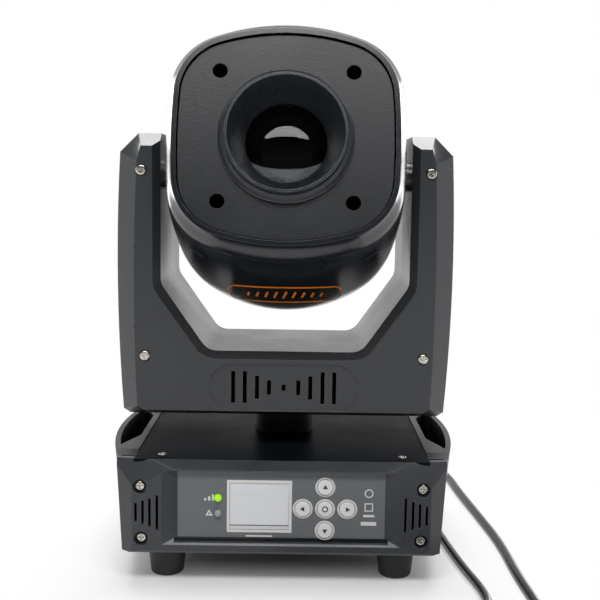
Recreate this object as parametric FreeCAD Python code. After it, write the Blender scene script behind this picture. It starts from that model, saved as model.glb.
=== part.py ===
import FreeCAD, Part

# Moving head spot light: base, panning yoke and tilting head, one solid per real piece.
# Millimetres, +Z up, origin on the floor under the pan axis, front towards -Y.
# The head is designed level, along its own optical axis, and turned up about the tilt axis.

import math
import os
from FreeCAD import Vector as V

os.makedirs("parts", exist_ok=True)

# ---------------------------------------------------------------- driving dimensions
BASE_TOP = 85.0            # height of the base's top plate
BASE_BOTTOM = 22.0         # underside of the base
BASE_HALF_DEPTH = 100.0    # front and rear face from the pan axis
TRAY_HALF_WIDTH = 100.0    # outside of the sheet metal tray
CORNER_HALF_WIDTH = 112.0  # outer corner of the end panels, at the top
CORNER_FOOT = 108.0        # the same corner at the bottom
HANDLE_BULGE = 124.5       # widest point of a side handle, at the top
HANDLE_BULGE_FOOT = 116.0  # the same at the bottom
SHEET = 1.5                # sheet metal
MOULD_WALL = 2.5           # moulded covers
PANEL_DEPTH = 14.0         # end panels, front to back
FOOT_HEIGHT = 22.0
FOOT_TOP_R = 13.6
FOOT_R = 11.2
FOOT_X = 79.5
FOOT_Y = 75.0
GAP = 0.3                  # between pieces that move past each other
RUN_FIT = 0.05             # radial clearance of a shaft in its bearing

YOKE_HALF_DEPTH = 60.0
YOKE_BOTTOM = 106.0
YOKE_TOP = 304.0
YOKE_WAIST = 118.4         # half width at the middle of the arms
YOKE_FOOT_WIDTH = 114.6    # half width at the bottom
YOKE_SHOULDER = 116.2      # half width under the top chamfer
ARM_INNER = 87.0           # inside faces of the arms from the pan axis
CRADLE_FLOOR = 153.0       # bottom of the opening for the head
CRADLE_HALF_FLOOR = 54.0
CRADLE_ARM_Z = 200.0       # where the diagonal meets the arm
TILT_Z = 276.5             # tilt axis

HEAD_TILT_UP = 15.0        # rest angle of the head
HEAD_FRONT = 97.0          # front lip from the tilt axis
HEAD_REAR = 97.0           # rear edge of the covers from the tilt axis
HEAD_HALF_WIDTH = 82.3
HEAD_HALF_HEIGHT = 99.5
FACE_HALF_WIDTH = 74.8
FACE_HALF_HEIGHT = 73.3
HOOD_RIM_R = 40.0
HOOD_PROUD = 8.0
LENS_R = 29.0
WHEEL_R = 44.0             # colour and pattern wheels
WHEEL_OFFSET = 33.0        # wheel centre from the optical axis
FAN_R = 36.0

PAN_PULLEY_TEETH = 112
TILT_PULLEY_TEETH = 60
MOTOR_PULLEY_TEETH = 16
BELT_PITCH = 2.0
BELT_WIDTH = 6.0
BELT_THICKNESS = 1.4

SCREEN_X = -14.9           # centre of the display
SCREEN_Z = 54.2
SCREEN_HALF_W = 20.0
SCREEN_HALF_H = 16.2
KEY_X = 29.4               # centre of the key cross
KEY_Z = 53.1
KEY_PITCH = 15.0
KEY_R = 5.25
KEY_TRAVEL = 0.8
LED_X = -42.7
LED_Z = (59.9, 49.3)
LED_R = 2.5

BIG = 600.0


# ---------------------------------------------------------------- helpers
def box(x0, x1, y0, y1, z0, z1):
    return Part.makeBox(x1 - x0, y1 - y0, z1 - z0, V(x0, y0, z0))


def rod(radius, start, end):
    way = end - start
    return Part.makeCylinder(radius, way.Length, start, way)


def cone(r0, r1, start, end):
    way = end - start
    return Part.makeCone(r0, r1, way.Length, start, way)


def tube(outer, inner, start, end):
    return rod(outer, start, end).cut(rod(inner, start, end))


def join(shapes):
    first = shapes[0]
    if len(shapes) == 1:
        return first
    return first.multiFuse(shapes[1:]).removeSplitter()


def carve(shape, tools):
    return shape.cut(Part.makeCompound(tools))


def polygon(points):
    return Part.makePolygon(list(points) + [points[0]])


def slab(wire, way):
    return Part.Face(wire).extrude(way)


def mirror_x(shape):
    return shape.mirror(V(0, 0, 0), V(1, 0, 0))


def mirror_y(shape):
    return shape.mirror(V(0, 0, 0), V(0, 1, 0))


def cut_beyond(shape, point, normal):
    """Take away all that lies past a plane."""
    cutter = Part.makeBox(BIG, BIG, BIG, V(-BIG / 2, -BIG / 2, 0))
    turn = FreeCAD.Rotation(V(0, 0, 1), normal)
    cutter.Placement = FreeCAD.Placement(point, turn).multiply(cutter.Placement)
    return shape.cut(cutter)


def rounded_slab(x0, x1, z0, z1, y0, y1, radius):
    """Upright plate with rounded corners, thick along Y."""
    plate = box(x0, x1, y0, y1, z0, z1)
    edges = [e for e in plate.Edges if abs(e.tangentAt(e.FirstParameter).y) > 0.9]
    return plate.makeFillet(radius, edges)


def pan_head_screw(point, way, head_r, head_h, shank_r, shank_len):
    """Pan head screw with a cross recess; the head stands out against its way in."""
    n = V(way).normalize()
    head = rod(head_r, point - n * head_h, point)
    crown = point - n * head_h
    edge = [e for e in head.Edges if e.Length > 6 and (e.CenterOfMass - crown).Length < 0.01]
    head = head.makeFillet(head_h * 0.6, edge[:1])
    screw = head.fuse(rod(shank_r, point, point + n * shank_len))
    side = n.cross(V(0, 0, 1)) if abs(n.z) < 0.9 else n.cross(V(1, 0, 0))
    side.normalize()
    up = n.cross(side)
    blade = head_r * 0.62
    slot = head_r * 0.12
    deep = head_h * 0.6
    cross = []
    for a, b in ((side, up), (up, side)):
        tip = a * blade
        half = b * slot
        corners = [tip + half, tip - half, -tip - half, -tip + half]
        outline = polygon([point - n * (head_h + 0.1) + c for c in corners])
        cross.append(slab(outline, n * (deep + 0.1)))
    return carve(screw, cross)


def export(name, shape):
    if not shape.isValid():
        print("INVALID", name)
    print(name, "solids", len(shape.Solids), "volume", round(shape.Volume, 1))
    shape.exportStep("parts/" + name + ".step")


# ---------------------------------------------------------------- base: side handles
HANDLE_TOP = BASE_TOP + 0.8
HANDLE_INNER = TRAY_HALF_WIDTH + 0.2
HANDLE_END = BASE_HALF_DEPTH - PANEL_DEPTH
HANDLE_WALL = 3.2
GRIP_INNER = 104.5
GRIP_SHORT = 31.0          # half length of the finger gap at the body
GRIP_LONG = 60.0           # half length of the finger gap at the grip
GRIP_FLOOR = 42.0
SIDE_SCREW_Y = 62.0
SIDE_SCREW_Z = (40.0, 70.0)
SIDE_WELL_R = 4.6
SIDE_WELL_DEPTH = 1.4
SCREW_HOLE_R = 1.6
SCREW_SHANK_R = 1.5


def level_share(z):
    return (z - BASE_BOTTOM) / (HANDLE_TOP - BASE_BOTTOM)


def bulge_at(z):
    return HANDLE_BULGE_FOOT + (HANDLE_BULGE - HANDLE_BULGE_FOOT) * level_share(z)


def corner_at(z):
    return CORNER_FOOT + (CORNER_HALF_WIDTH - CORNER_FOOT) * level_share(z)


def arc_x(z, y):
    """Outside of the handle at a height and a place along it."""
    rise = bulge_at(z) - corner_at(z)
    radius = (HANDLE_END ** 2 + rise ** 2) / (2 * rise)
    return bulge_at(z) - radius + math.sqrt(radius ** 2 - y ** 2)


def handle_outline(z, inset, inner):
    end = HANDLE_END - (inset if inset else 0.0)
    a = V(arc_x(z, end) - inset, -end, z)
    b = V(bulge_at(z) - inset, 0, z)
    c = V(arc_x(z, end) - inset, end, z)
    arc = Part.Arc(a, b, c).toShape()
    sides = [Part.makeLine(V(inner, -end, z), a), arc, Part.makeLine(c, V(inner, end, z))]
    sides.append(Part.makeLine(V(inner, end, z), V(inner, -end, z)))
    return Part.Wire(sides)


def grip_outline(z, grow):
    reach = GRIP_LONG + grow
    inset = HANDLE_WALL + 0.6 - grow
    a = V(arc_x(z, reach) - inset, -reach, z)
    b = V(bulge_at(z) - inset, 0, z)
    c = V(arc_x(z, reach) - inset, reach, z)
    near = GRIP_INNER - grow
    sides = [Part.makeLine(V(near, -GRIP_SHORT - grow, z), a), Part.Arc(a, b, c).toShape()]
    sides.append(Part.makeLine(c, V(near, GRIP_SHORT + grow, z)))
    sides.append(Part.makeLine(V(near, GRIP_SHORT + grow, z), V(near, -GRIP_SHORT - grow, z)))
    return Part.Wire(sides)


def loft(wires, ruled=True):
    return Part.makeLoft(wires, True, ruled)


def side_handle():
    outer = loft([handle_outline(z, 0, HANDLE_INNER) for z in (BASE_BOTTOM, HANDLE_TOP)])
    low = BASE_BOTTOM + MOULD_WALL
    high = HANDLE_TOP - MOULD_WALL
    inner = HANDLE_INNER - 1.0
    hollow = loft([handle_outline(low, HANDLE_WALL, inner), handle_outline(high, HANDLE_WALL, inner)])
    well_low = GRIP_FLOOR - MOULD_WALL
    well = loft([grip_outline(well_low, MOULD_WALL), grip_outline(HANDLE_TOP, MOULD_WALL)])
    shell = outer.cut(hollow).fuse(well.common(outer)).removeSplitter()
    shell = shell.cut(loft([grip_outline(GRIP_FLOOR, 0), grip_outline(HANDLE_TOP + 1, 0)]))
    for side in (-1, 1):
        drop = V(0, side * 0.38, 1)
        shell = cut_beyond(shell, V(0, side * (HANDLE_END - 15.0), HANDLE_TOP), drop)
    tools = []
    for y in (-SIDE_SCREW_Y, SIDE_SCREW_Y):
        for z in SIDE_SCREW_Z:
            face = arc_x(z, y)
            tools.append(rod(SIDE_WELL_R, V(face - SIDE_WELL_DEPTH, y, z), V(face + 5, y, z)))
            tools.append(rod(SCREW_HOLE_R, V(face - 6, y, z), V(face, y, z)))
    return carve(shell, tools)


# ---------------------------------------------------------------- base: end panels
VENT_X = (83.4, 88.4, 93.0, 97.7)
VENT_LENGTH = (24.0, 19.5, 16.5, 13.0)
VENT_WIDTH = 1.8
VENT_Z = 50.0
PANEL_SCREWS = ((95.0, 67.8), (94.2, 32.2))
SCREW_WELL_R = 4.85
SCREW_WELL_DEPTH = 4.2
FRONT_FLAT = 4.0           # how far the recessed flat lies behind the front
FLAT_HALF_W = 70.2
FLAT_LOW = 32.3
FLAT_HIGH = 78.4
SLOPE_HALF_W = 80.7
CHAMFER_X = 100.5
CHAMFER_BACK = 9.0
PANEL_TOP = BASE_TOP - SHEET
PLATE_SETBACK = 6.8        # top plate's edge behind the panel's front
PLATE_SCREW_X = 82.0
PLATE_SCREW_Y = 82.0


def panel_body():
    """Faceted end panel, closed, before its hollow and its openings."""
    front = -BASE_HALF_DEPTH
    back = front + PANEL_DEPTH
    side = [V(-CORNER_HALF_WIDTH, y, BASE_BOTTOM) for y in (back, front + CHAMFER_BACK)]
    side += [V(-CHAMFER_X, front, BASE_BOTTOM)]
    outline = side + [V(-p.x, p.y, p.z) for p in reversed(side)]
    body = slab(polygon(outline), V(0, 0, PANEL_TOP + SHEET - BASE_BOTTOM))
    lean = (CORNER_HALF_WIDTH - CORNER_FOOT) / (BASE_TOP - BASE_BOTTOM)
    for s in (-1, 1):
        body = cut_beyond(body, V(s * CORNER_HALF_WIDTH, 0, BASE_TOP), V(s, 0, -lean))
        a = V(s * CORNER_HALF_WIDTH, front + 8.0, 79.0)
        b = V(s * 79.0, front, 76.8)
        c = V(s * CHAMFER_X, front, 68.8)
        facet = (b - a).cross(c - a)
        facet = facet if facet.y < 0 else facet * -1
        body = cut_beyond(body, a, facet)
    brow = V(0, -5.0, 6.0)
    body = cut_beyond(body, V(0, front + PLATE_SETBACK - 0.4, BASE_TOP), brow)
    body = cut_beyond(body, V(0, front, BASE_BOTTOM + 1.5), V(0, -1, -1))
    return body


def flat_recess():
    front = -BASE_HALF_DEPTH
    floor_y = front + FRONT_FLAT

    def frame(half_w, low, high, y):
        return polygon([V(-half_w, y, low), V(half_w, y, low), V(half_w, y, high), V(-half_w, y, high)])

    mouth = frame(SLOPE_HALF_W + 2.6, FLAT_LOW - 5.6, FLAT_HIGH + 0.65, front - 1.0)
    pocket = loft([mouth, frame(FLAT_HALF_W, FLAT_LOW, FLAT_HIGH, floor_y)])
    groove_w = FLAT_HALF_W + 2
    groove = box(-groove_w, groove_w, front + 1.5, floor_y + 1.2, FLAT_LOW - 3.6, FLAT_LOW)
    return join([pocket, groove])


def panel_shell():
    front = -BASE_HALF_DEPTH
    back = front + PANEL_DEPTH
    body = panel_body()
    low = BASE_BOTTOM + MOULD_WALL
    high = PANEL_TOP - MOULD_WALL
    mid_w = FLAT_HALF_W - 1
    mid = box(-mid_w, mid_w, front + FRONT_FLAT + MOULD_WALL + 1.2, back + 1, low, high)
    rebate_x = TRAY_HALF_WIDTH + 0.1
    rebate = box(-rebate_x, rebate_x, front + PLATE_SETBACK - 0.1, back + 1, PANEL_TOP, BASE_TOP + 1)
    tools = [mid, flat_recess(), rebate]
    for s in (-1, 1):
        x0 = s * (SLOPE_HALF_W + 0.5)
        x1 = s * (CHAMFER_X - 0.5)
        tools.append(box(min(x0, x1), max(x0, x1), front + MOULD_WALL + 1.5, back + 1, low, high - 6))
    shell = carve(body, tools)
    bosses = []
    holes = []
    for s in (-1, 1):
        for x, z in PANEL_SCREWS:
            mouth = V(s * x, front, z)
            bosses.append(rod(SCREW_WELL_R + 1.6, mouth + V(0, 2.0, 0), V(s * x, back, z)))
            holes.append(rod(SCREW_WELL_R, mouth - V(0, 1, 0), mouth + V(0, SCREW_WELL_DEPTH, 0)))
            holes.append(rod(SCREW_HOLE_R, mouth, V(s * x, back + 1, z)))
        for x, length in zip(VENT_X, VENT_LENGTH):
            half = VENT_WIDTH / 2
            z0 = VENT_Z - length / 2
            holes.append(box(s * x - half, s * x + half, front - 1, front + 6, z0, z0 + length))
    shell = join([shell] + [b.common(body) for b in bosses])
    return carve(shell, holes)


def key_places():
    cross = {"up": (0, 1), "down": (0, -1), "left": (-1, 0), "right": (1, 0), "enter": (0, 0)}
    return {"key_" + n: (KEY_X + a * KEY_PITCH, KEY_Z + b * KEY_PITCH) for n, (a, b) in cross.items()}


def control_openings(y0, y1, slack):
    tools = []
    for x, z in key_places().values():
        tools.append(rod(KEY_R + GAP + slack, V(x, y0, z), V(x, y1, z)))
    for z in LED_Z:
        tools.append(rod(LED_R + 0.1 + slack, V(LED_X, y0, z), V(LED_X, y1, z)))
    w = SCREEN_HALF_W + slack
    h = SCREEN_HALF_H + slack
    tools.append(box(SCREEN_X - w, SCREEN_X + w, y0, y1, SCREEN_Z - h, SCREEN_Z + h))
    return tools


def front_panel():
    front = -BASE_HALF_DEPTH
    return carve(panel_shell(), control_openings(front - 1, front + PANEL_DEPTH, 0.6))


def control_overlay():
    y1 = -BASE_HALF_DEPTH + FRONT_FLAT
    sheet = box(-FLAT_HALF_W + 0.3, FLAT_HALF_W - 0.3, y1 - 0.5, y1, FLAT_LOW + 0.3, FLAT_HIGH - 0.3)
    return carve(sheet, control_openings(y1 - 2, y1 + 1, 0.0))


BOARD_Y = -87.4
BOARD_THICK = 1.6


def control_board():
    board = box(-62, 62, BOARD_Y, BOARD_Y + BOARD_THICK, 29, 77)
    face = -BASE_HALF_DEPTH + FRONT_FLAT + 0.4
    x0 = SCREEN_X - SCREEN_HALF_W - 0.4
    x1 = SCREEN_X + SCREEN_HALF_W + 0.4
    screen = box(x0, x1, face, BOARD_Y, SCREEN_Z - SCREEN_HALF_H - 0.4, SCREEN_Z + SCREEN_HALF_H + 0.4)
    switches = []
    for x, z in key_places().values():
        back = BOARD_Y - KEY_TRAVEL - 0.2
        switches.append(box(x - 3, x + 3, back + 0.4, BOARD_Y, z - 3, z + 3))
    chips = [box(-50, -40, BOARD_Y + BOARD_THICK, BOARD_Y + 4, 40, 50)]
    chips.append(box(10, 28, BOARD_Y + BOARD_THICK, BOARD_Y + 4, 42, 60))
    chips.append(box(40, 56, BOARD_Y + BOARD_THICK, BOARD_Y + 9, 32, 42))
    return join([board, screen] + switches + chips)


def status_leds():
    leds = []
    for z in LED_Z:
        nose = -BASE_HALF_DEPTH + FRONT_FLAT - 1.0
        body = rod(LED_R, V(LED_X, nose, z), V(LED_X, BOARD_Y - 0.2, z))
        dome = Part.makeSphere(LED_R, V(LED_X, nose, z))
        leds.append(body.fuse(dome).removeSplitter())
    return Part.makeCompound(leds)


def key(x, z):
    nose = -BASE_HALF_DEPTH + FRONT_FLAT - 1.6
    cap = rod(KEY_R, V(x, nose, z), V(x, BOARD_Y - KEY_TRAVEL - 0.8 - 1.9, z))
    rim = [e for e in cap.Edges if abs(e.CenterOfMass.y - nose) < 0.01 and e.Length > 5]
    cap = cap.makeFillet(0.7, rim[:1])
    flange_y = -BASE_HALF_DEPTH + FRONT_FLAT + MOULD_WALL + 1.2 + GAP
    flange = rod(KEY_R + 1.4, V(x, flange_y, z), V(x, flange_y + 0.9, z))
    stem = rod(2.0, V(x, nose + 3, z), V(x, BOARD_Y - KEY_TRAVEL - 0.9, z))
    return join([cap, flange, stem])


# ---------------------------------------------------------------- base: sheet metal and contents
RIG_HOLE_X = 53.0
RIG_HOLE_Y = 30.0
RIG_HOLE_R = 4.25
SPINDLE_R = 15.0
SPINDLE_BORE_R = 11.0
HUB_R = 22.0
HUB_TOP = YOKE_BOTTOM - 6.0
PAN_PULLEY_Z = 118.0


def bottom_tray():
    half_y = BASE_HALF_DEPTH - PANEL_DEPTH
    wall_top = BASE_TOP - SHEET
    low = BASE_BOTTOM
    floor = box(-TRAY_HALF_WIDTH, TRAY_HALF_WIDTH, -half_y, half_y, low, low + SHEET)
    walls = []
    holes = []
    for s in (-1, 1):
        x0 = s * TRAY_HALF_WIDTH
        x1 = s * (TRAY_HALF_WIDTH - SHEET)
        walls.append(box(min(x0, x1), max(x0, x1), -half_y, half_y, low, wall_top))
        for t in (-1, 1):
            tab_x = s * (TRAY_HALF_WIDTH - 14)
            y0 = t * half_y
            y1 = t * (half_y - SHEET)
            xs = sorted((tab_x, s * TRAY_HALF_WIDTH))
            ys = sorted((y0, y1))
            walls.append(box(xs[0], xs[1], ys[0], ys[1], low, wall_top))
            for x, z in PANEL_SCREWS:
                start = V(s * x, t * (half_y - 4), z)
                holes.append(rod(SCREW_HOLE_R, start, start + V(0, t * 5, 0)))
            lug_x = sorted((s * (PLATE_SCREW_X - 6), s * (TRAY_HALF_WIDTH - SHEET)))
            lug_y = sorted((t * (PLATE_SCREW_Y - 5), t * half_y))
            walls.append(box(lug_x[0], lug_x[1], lug_y[0], lug_y[1], wall_top - SHEET, wall_top))
            hole = V(s * PLATE_SCREW_X, t * PLATE_SCREW_Y, wall_top - 5)
            holes.append(rod(SCREW_HOLE_R, hole, hole + V(0, 0, 10)))
            rig = V(s * RIG_HOLE_X, t * RIG_HOLE_Y, 0)
            foot = V(s * FOOT_X, t * FOOT_Y, 0)
            holes.append(rod(RIG_HOLE_R, rig, rig + V(0, 0, 40)))
            holes.append(rod(2.6, foot, foot + V(0, 0, 40)))
    return carve(join([floor] + walls), holes)


def top_plate():
    half_y = BASE_HALF_DEPTH - PLATE_SETBACK
    plate = box(-TRAY_HALF_WIDTH, TRAY_HALF_WIDTH, -half_y, half_y, BASE_TOP - SHEET, BASE_TOP)
    hub = rod(HUB_R + 0.2, V(0, 0, 0), V(0, 0, BIG))
    holes = [hub]
    for s in (-1, 1):
        for t in (-1, 1):
            hole = V(s * PLATE_SCREW_X, t * PLATE_SCREW_Y, 0)
            holes.append(rod(SCREW_HOLE_R, hole, hole + V(0, 0, BIG)))
    return carve(plate, holes)


def rubber_feet():
    feet = []
    for s in (-1, 1):
        for t in (-1, 1):
            x = s * FOOT_X
            y = t * FOOT_Y
            body = cone(FOOT_R, FOOT_TOP_R, V(x, y, 0), V(x, y, FOOT_HEIGHT))
            rim = [e for e in body.Edges if abs(e.CenterOfMass.z) < 0.01 and e.Length > 5]
            body = body.makeFillet(2.6, rim[:1])
            body = body.cut(rod(4.4, V(x, y, -1), V(x, y, 12)))
            body = body.cut(rod(2.4, V(x, y, -1), V(x, y, FOOT_HEIGHT + 1)))
            stud = rod(2.4, V(x, y, 12), V(x, y, BASE_BOTTOM + SHEET + 2.5))
            feet.append(body.fuse(stud).removeSplitter())
    return Part.makeCompound(feet)


def toothed_rim(teeth, flank=0.35, depth=0.75):
    """Closed outline of a timing pulley in its own plane."""
    tip = teeth * BELT_PITCH / (2 * math.pi)
    root = tip - depth
    step = 2 * math.pi / teeth
    points = []
    for i in range(teeth):
        for share, radius in ((-flank, root), (-0.2, tip), (0.2, tip), (flank, root)):
            angle = (i + share) * step
            points.append((radius * math.cos(angle), radius * math.sin(angle)))
    return points


def pulley(teeth, centre, way, side, width, bore, flange=0.9):
    n = V(way).normalize()
    u = V(side).normalize()
    w = n.cross(u)
    outline = [centre + u * a + w * b for a, b in toothed_rim(teeth)]
    rim = slab(polygon(outline), n * width)
    flange_r = teeth * BELT_PITCH / (2 * math.pi) + flange
    end = centre + n * width
    sides = [rod(flange_r, centre - n, centre), rod(flange_r, end, end + n)]
    wheel = join([rim] + sides)
    if bore:
        wheel = wheel.cut(rod(bore, centre - n * 2, centre + n * (width + 2)))
    return wheel


def pulley_r(teeth):
    return teeth * BELT_PITCH / (2 * math.pi)


def belt(big_c, big_r, small_c, small_r, way, width):
    """Closed band round two pulleys, straight between them."""
    n = V(way).normalize()
    line = small_c - big_c
    u = V(line).normalize()
    w = n.cross(u)
    bands = []
    for extra in (GAP, GAP + BELT_THICKNESS):
        r1 = big_r + extra
        r2 = small_r + extra
        lean = math.acos((r1 - r2) / line.Length)
        c = math.cos(lean)
        s = math.sin(lean)
        a1 = big_c + u * (r1 * c) + w * (r1 * s)
        a2 = big_c + u * (r1 * c) - w * (r1 * s)
        b1 = small_c + u * (r2 * c) + w * (r2 * s)
        b2 = small_c + u * (r2 * c) - w * (r2 * s)
        round_big = Part.Arc(a1, big_c - u * r1, a2).toShape()
        round_small = Part.Arc(b2, small_c + u * r2, b1).toShape()
        bands.append(Part.Wire([round_big, Part.makeLine(a2, b2), round_small, Part.makeLine(b1, a1)]))
    outer = slab(bands[1], n * width)
    return outer.cut(slab(bands[0], n * width))


def pan_spindle():
    hub = rod(HUB_R, V(0, 0, BASE_TOP - 12), V(0, 0, HUB_TOP))
    flange = rod(36, V(0, 0, BASE_TOP - SHEET - 4), V(0, 0, BASE_TOP - SHEET))
    post = rod(SPINDLE_R, V(0, 0, HUB_TOP), V(0, 0, PAN_PULLEY_Z + 14))
    wheel = pulley(PAN_PULLEY_TEETH, V(0, 0, PAN_PULLEY_Z), V(0, 0, 1), V(1, 0, 0), BELT_WIDTH + 1.5, 0)
    body = join([hub, flange, post, wheel])
    windows = [rod(SPINDLE_BORE_R, V(0, 0, 0), V(0, 0, BIG))]
    for i in range(6):
        a = math.radians(60 * i)
        c = V(25.5 * math.cos(a), 25.5 * math.sin(a), PAN_PULLEY_Z - 3)
        windows.append(rod(6.0, c, c + V(0, 0, 20)))
    return carve(body, windows)


def power_supply():
    x0, x1, y0, y1 = 30.0, 94.0, -68.0, 68.0
    z0 = BASE_BOTTOM + SHEET
    case = box(x0, x1, y0, y1, z0, z0 + 38)
    slots = []
    for i in range(12):
        y = y0 + 16 + i * 9.5
        slots.append(box(x0 + 8, x1 - 8, y, y + 3, z0 + 36, z0 + 40))
    inner = box(x0 + 1, x1 - 1, y0 + 1, y1 - 1, z0 + 1, z0 + 37)
    return carve(case, [inner] + slots)


# ---------------------------------------------------------------- base: rear connectors
SIGNAL_USED_X = 48.0
SIGNAL_SPARE_X = 22.0
MAINS_X = -16.0
CONNECTOR_Z = 54.0
REAR_FLAT_Y = BASE_HALF_DEPTH - FRONT_FLAT
SOCKET_R = 11.8
SOCKET_FLANGE_W = 13.0
SOCKET_FLANGE_H = 15.5
INLET_HALF_W = 15.4
INLET_HALF_H = 12.4


def rear_panel():
    panel = mirror_y(panel_shell())
    y0 = REAR_FLAT_Y - 10
    y1 = BASE_HALF_DEPTH + 2
    tools = []
    for x in (SIGNAL_USED_X, SIGNAL_SPARE_X):
        tools.append(rod(SOCKET_R + 0.2, V(x, y0, CONNECTOR_Z), V(x, y1, CONNECTOR_Z)))
    w = INLET_HALF_W - 1.2
    h = INLET_HALF_H - 1.2
    tools.append(box(MAINS_X - w, MAINS_X + w, y0, y1, CONNECTOR_Z - h, CONNECTOR_Z + h))
    tools.append(rod(6.2, V(-50, y0, CONNECTOR_Z), V(-50, y1, CONNECTOR_Z)))
    return carve(panel, tools)


def signal_sockets():
    """Two chassis sockets with a square flange; one of them stays free."""
    sockets = []
    z = CONNECTOR_Z
    for x in (SIGNAL_USED_X, SIGNAL_SPARE_X):
        y0 = REAR_FLAT_Y
        w = SOCKET_FLANGE_W - 0.3
        h = SOCKET_FLANGE_H
        flange = rounded_slab(x - w, x + w, z - h, z + h, y0, y0 + 2.0, 2.5)
        barrel = rod(SOCKET_R, V(x, y0 - 18, z), V(x, y0 + 3.0, z))
        body = flange.fuse(barrel)
        body = body.cut(rod(9.8, V(x, y0 - 14, z), V(x, y0 + 5, z)))
        holes = []
        for s in (-1, 1):
            screw = V(x + s * 9.6, y0 - 1, z + s * 12.2)
            holes.append(rod(1.7, screw, screw + V(0, 4, 0)))
        body = carve(body, holes)
        if x == SIGNAL_SPARE_X:
            pins = []
            for i in range(3):
                a = math.radians(210 + 60 * i)
                c = V(x + 4.6 * math.cos(a), y0 - 14.5, z + 4.6 * math.sin(a))
                pins.append(rod(1.15, c, c + V(0, 10, 0)))
            body = join([body] + pins)
        sockets.append(body)
    return Part.makeCompound(sockets)


def mains_inlet():
    """Flanged appliance inlet and, beside it, the round cap of the fuse holder."""
    y0 = REAR_FLAT_Y
    x = MAINS_X
    z = CONNECTOR_Z
    w = INLET_HALF_W
    h = INLET_HALF_H
    flange = rounded_slab(x - w - 4, x + w + 4, z - h - 1, z + h + 1, y0, y0 + 2.5, 3.0)
    block = box(x - w + 1.4, x + w - 1.4, y0 - 18, y0 + 2.5, z - h + 1.4, z + h - 1.4)
    body = flange.fuse(block)
    pocket = box(x - w + 3.2, x + w - 3.2, y0 - 15, y0 + 5, z - h + 3.2, z + h - 3.2)
    body = body.cut(pocket)
    fuse_x = -50.0
    neck = rod(6.0, V(fuse_x, y0 - 20, z), V(fuse_x, y0 + 0.5, z))
    collar = rod(8.2, V(fuse_x, y0, z), V(fuse_x, y0 + 2.0, z))
    cap = rod(6.6, V(fuse_x, y0 + 2.0, z), V(fuse_x, y0 + 8.0, z))
    holder = join([neck, collar, cap])
    holder = holder.cut(box(fuse_x - 5, fuse_x + 5, y0 + 6.8, y0 + 9, z - 0.7, z + 0.7))
    return Part.makeCompound([body.removeSplitter(), holder])


# ---------------------------------------------------------------- cords
MAINS_D = 7.4
SIGNAL_D = 6.4
MAINS_EXIT = V(MAINS_X, REAR_FLAT_Y + 46, CONNECTOR_Z)
SIGNAL_EXIT = V(SIGNAL_USED_X, REAR_FLAT_Y + 48, CONNECTOR_Z)
COIL_SHARE = 11.0          # coil diameter in cord diameters, at the middle of its turns
MAINS_COIL = V(119.6, -216.0, 0)
SIGNAL_COIL = V(28.0, -200.8, 0)

MAINS_ROUTE = [
    MAINS_EXIT, V(MAINS_X + 1, 176, 53), V(6, 216, 40), V(45, 242, 21), V(92, 238, 7),
    V(130, 206, MAINS_D / 2), V(150, 158, MAINS_D / 2), V(153, 100, MAINS_D / 2),
    V(158.5, 40, MAINS_D / 2), V(164, -25, MAINS_D / 2), V(163.2, -90, MAINS_D / 2),
    V(166, -140, MAINS_D / 2), V(164, -178, MAINS_D / 2), V(164, -208, MAINS_D / 2),
]
SIGNAL_ROUTE = [
    SIGNAL_EXIT, V(SIGNAL_USED_X + 0.5, 172, 52), V(58, 204, 36), V(85, 212, 16.5),
    V(114, 190, SIGNAL_D / 2), V(122, 144, SIGNAL_D / 2), V(116, 96, SIGNAL_D / 2),
    V(117.5, 40, SIGNAL_D / 2), V(122, -15, SIGNAL_D / 2), V(128, -70, SIGNAL_D / 2),
    V(135.5, -114, SIGNAL_D / 2), V(134, -139, SIGNAL_D / 2), V(119, -157, SIGNAL_D / 2),
    V(96, -163, SIGNAL_D / 2), V(72, -161.5, SIGNAL_D / 2), V(50, -162.4, SIGNAL_D / 2),
    V(36, -162.4, SIGNAL_D / 2),
]


def cord_tube(name, route, diameter):
    """Tube along straight runs joined by tangent arcs."""
    edges = []
    radii = []
    start = route[0]
    for before, point, after in zip(route, route[1:], route[2:]):
        one = before - point
        two = after - point
        turn = math.pi - one.getAngle(two)
        reach = 0.45 * min(one.Length, two.Length)
        radius = reach / math.tan(turn / 2)
        radii.append(radius)
        a = point + V(one).normalize() * reach
        b = point + V(two).normalize() * reach
        inward = (V(one).normalize() + V(two).normalize()).normalize()
        middle = point + inward * (radius / math.cos(turn / 2) - radius)
        edges.append(Part.LineSegment(start, a).toShape())
        edges.append(Part.Arc(a, middle, b).toShape())
        start = b
    edges.append(Part.LineSegment(start, route[-1]).toShape())
    path = Part.Wire(edges)
    way = (route[1] - route[0]).normalize()
    ring = Part.Wire([Part.Circle(route[0], way, diameter / 2).toShape()])
    solid = path.makePipeShell([ring], True, True)
    full = path.Length * math.pi * diameter ** 2 / 4
    print(name, "length", round(path.Length, 1), "volume share", round(solid.Volume / full, 4))
    print(name, "least radius in diameters", round(min(radii) / diameter, 2), [round(r) for r in radii])
    return solid


def cord_coil(centre, diameter):
    """Outer shape of two by two turns, with rounded edges."""
    mean = COIL_SHARE * diameter / 2
    ring = tube(mean + diameter, mean - diameter, centre, centre + V(0, 0, 2 * diameter))
    return ring.makeFillet(diameter * 0.4, [e for e in ring.Edges if e.Closed and e.Length > 10])


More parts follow.
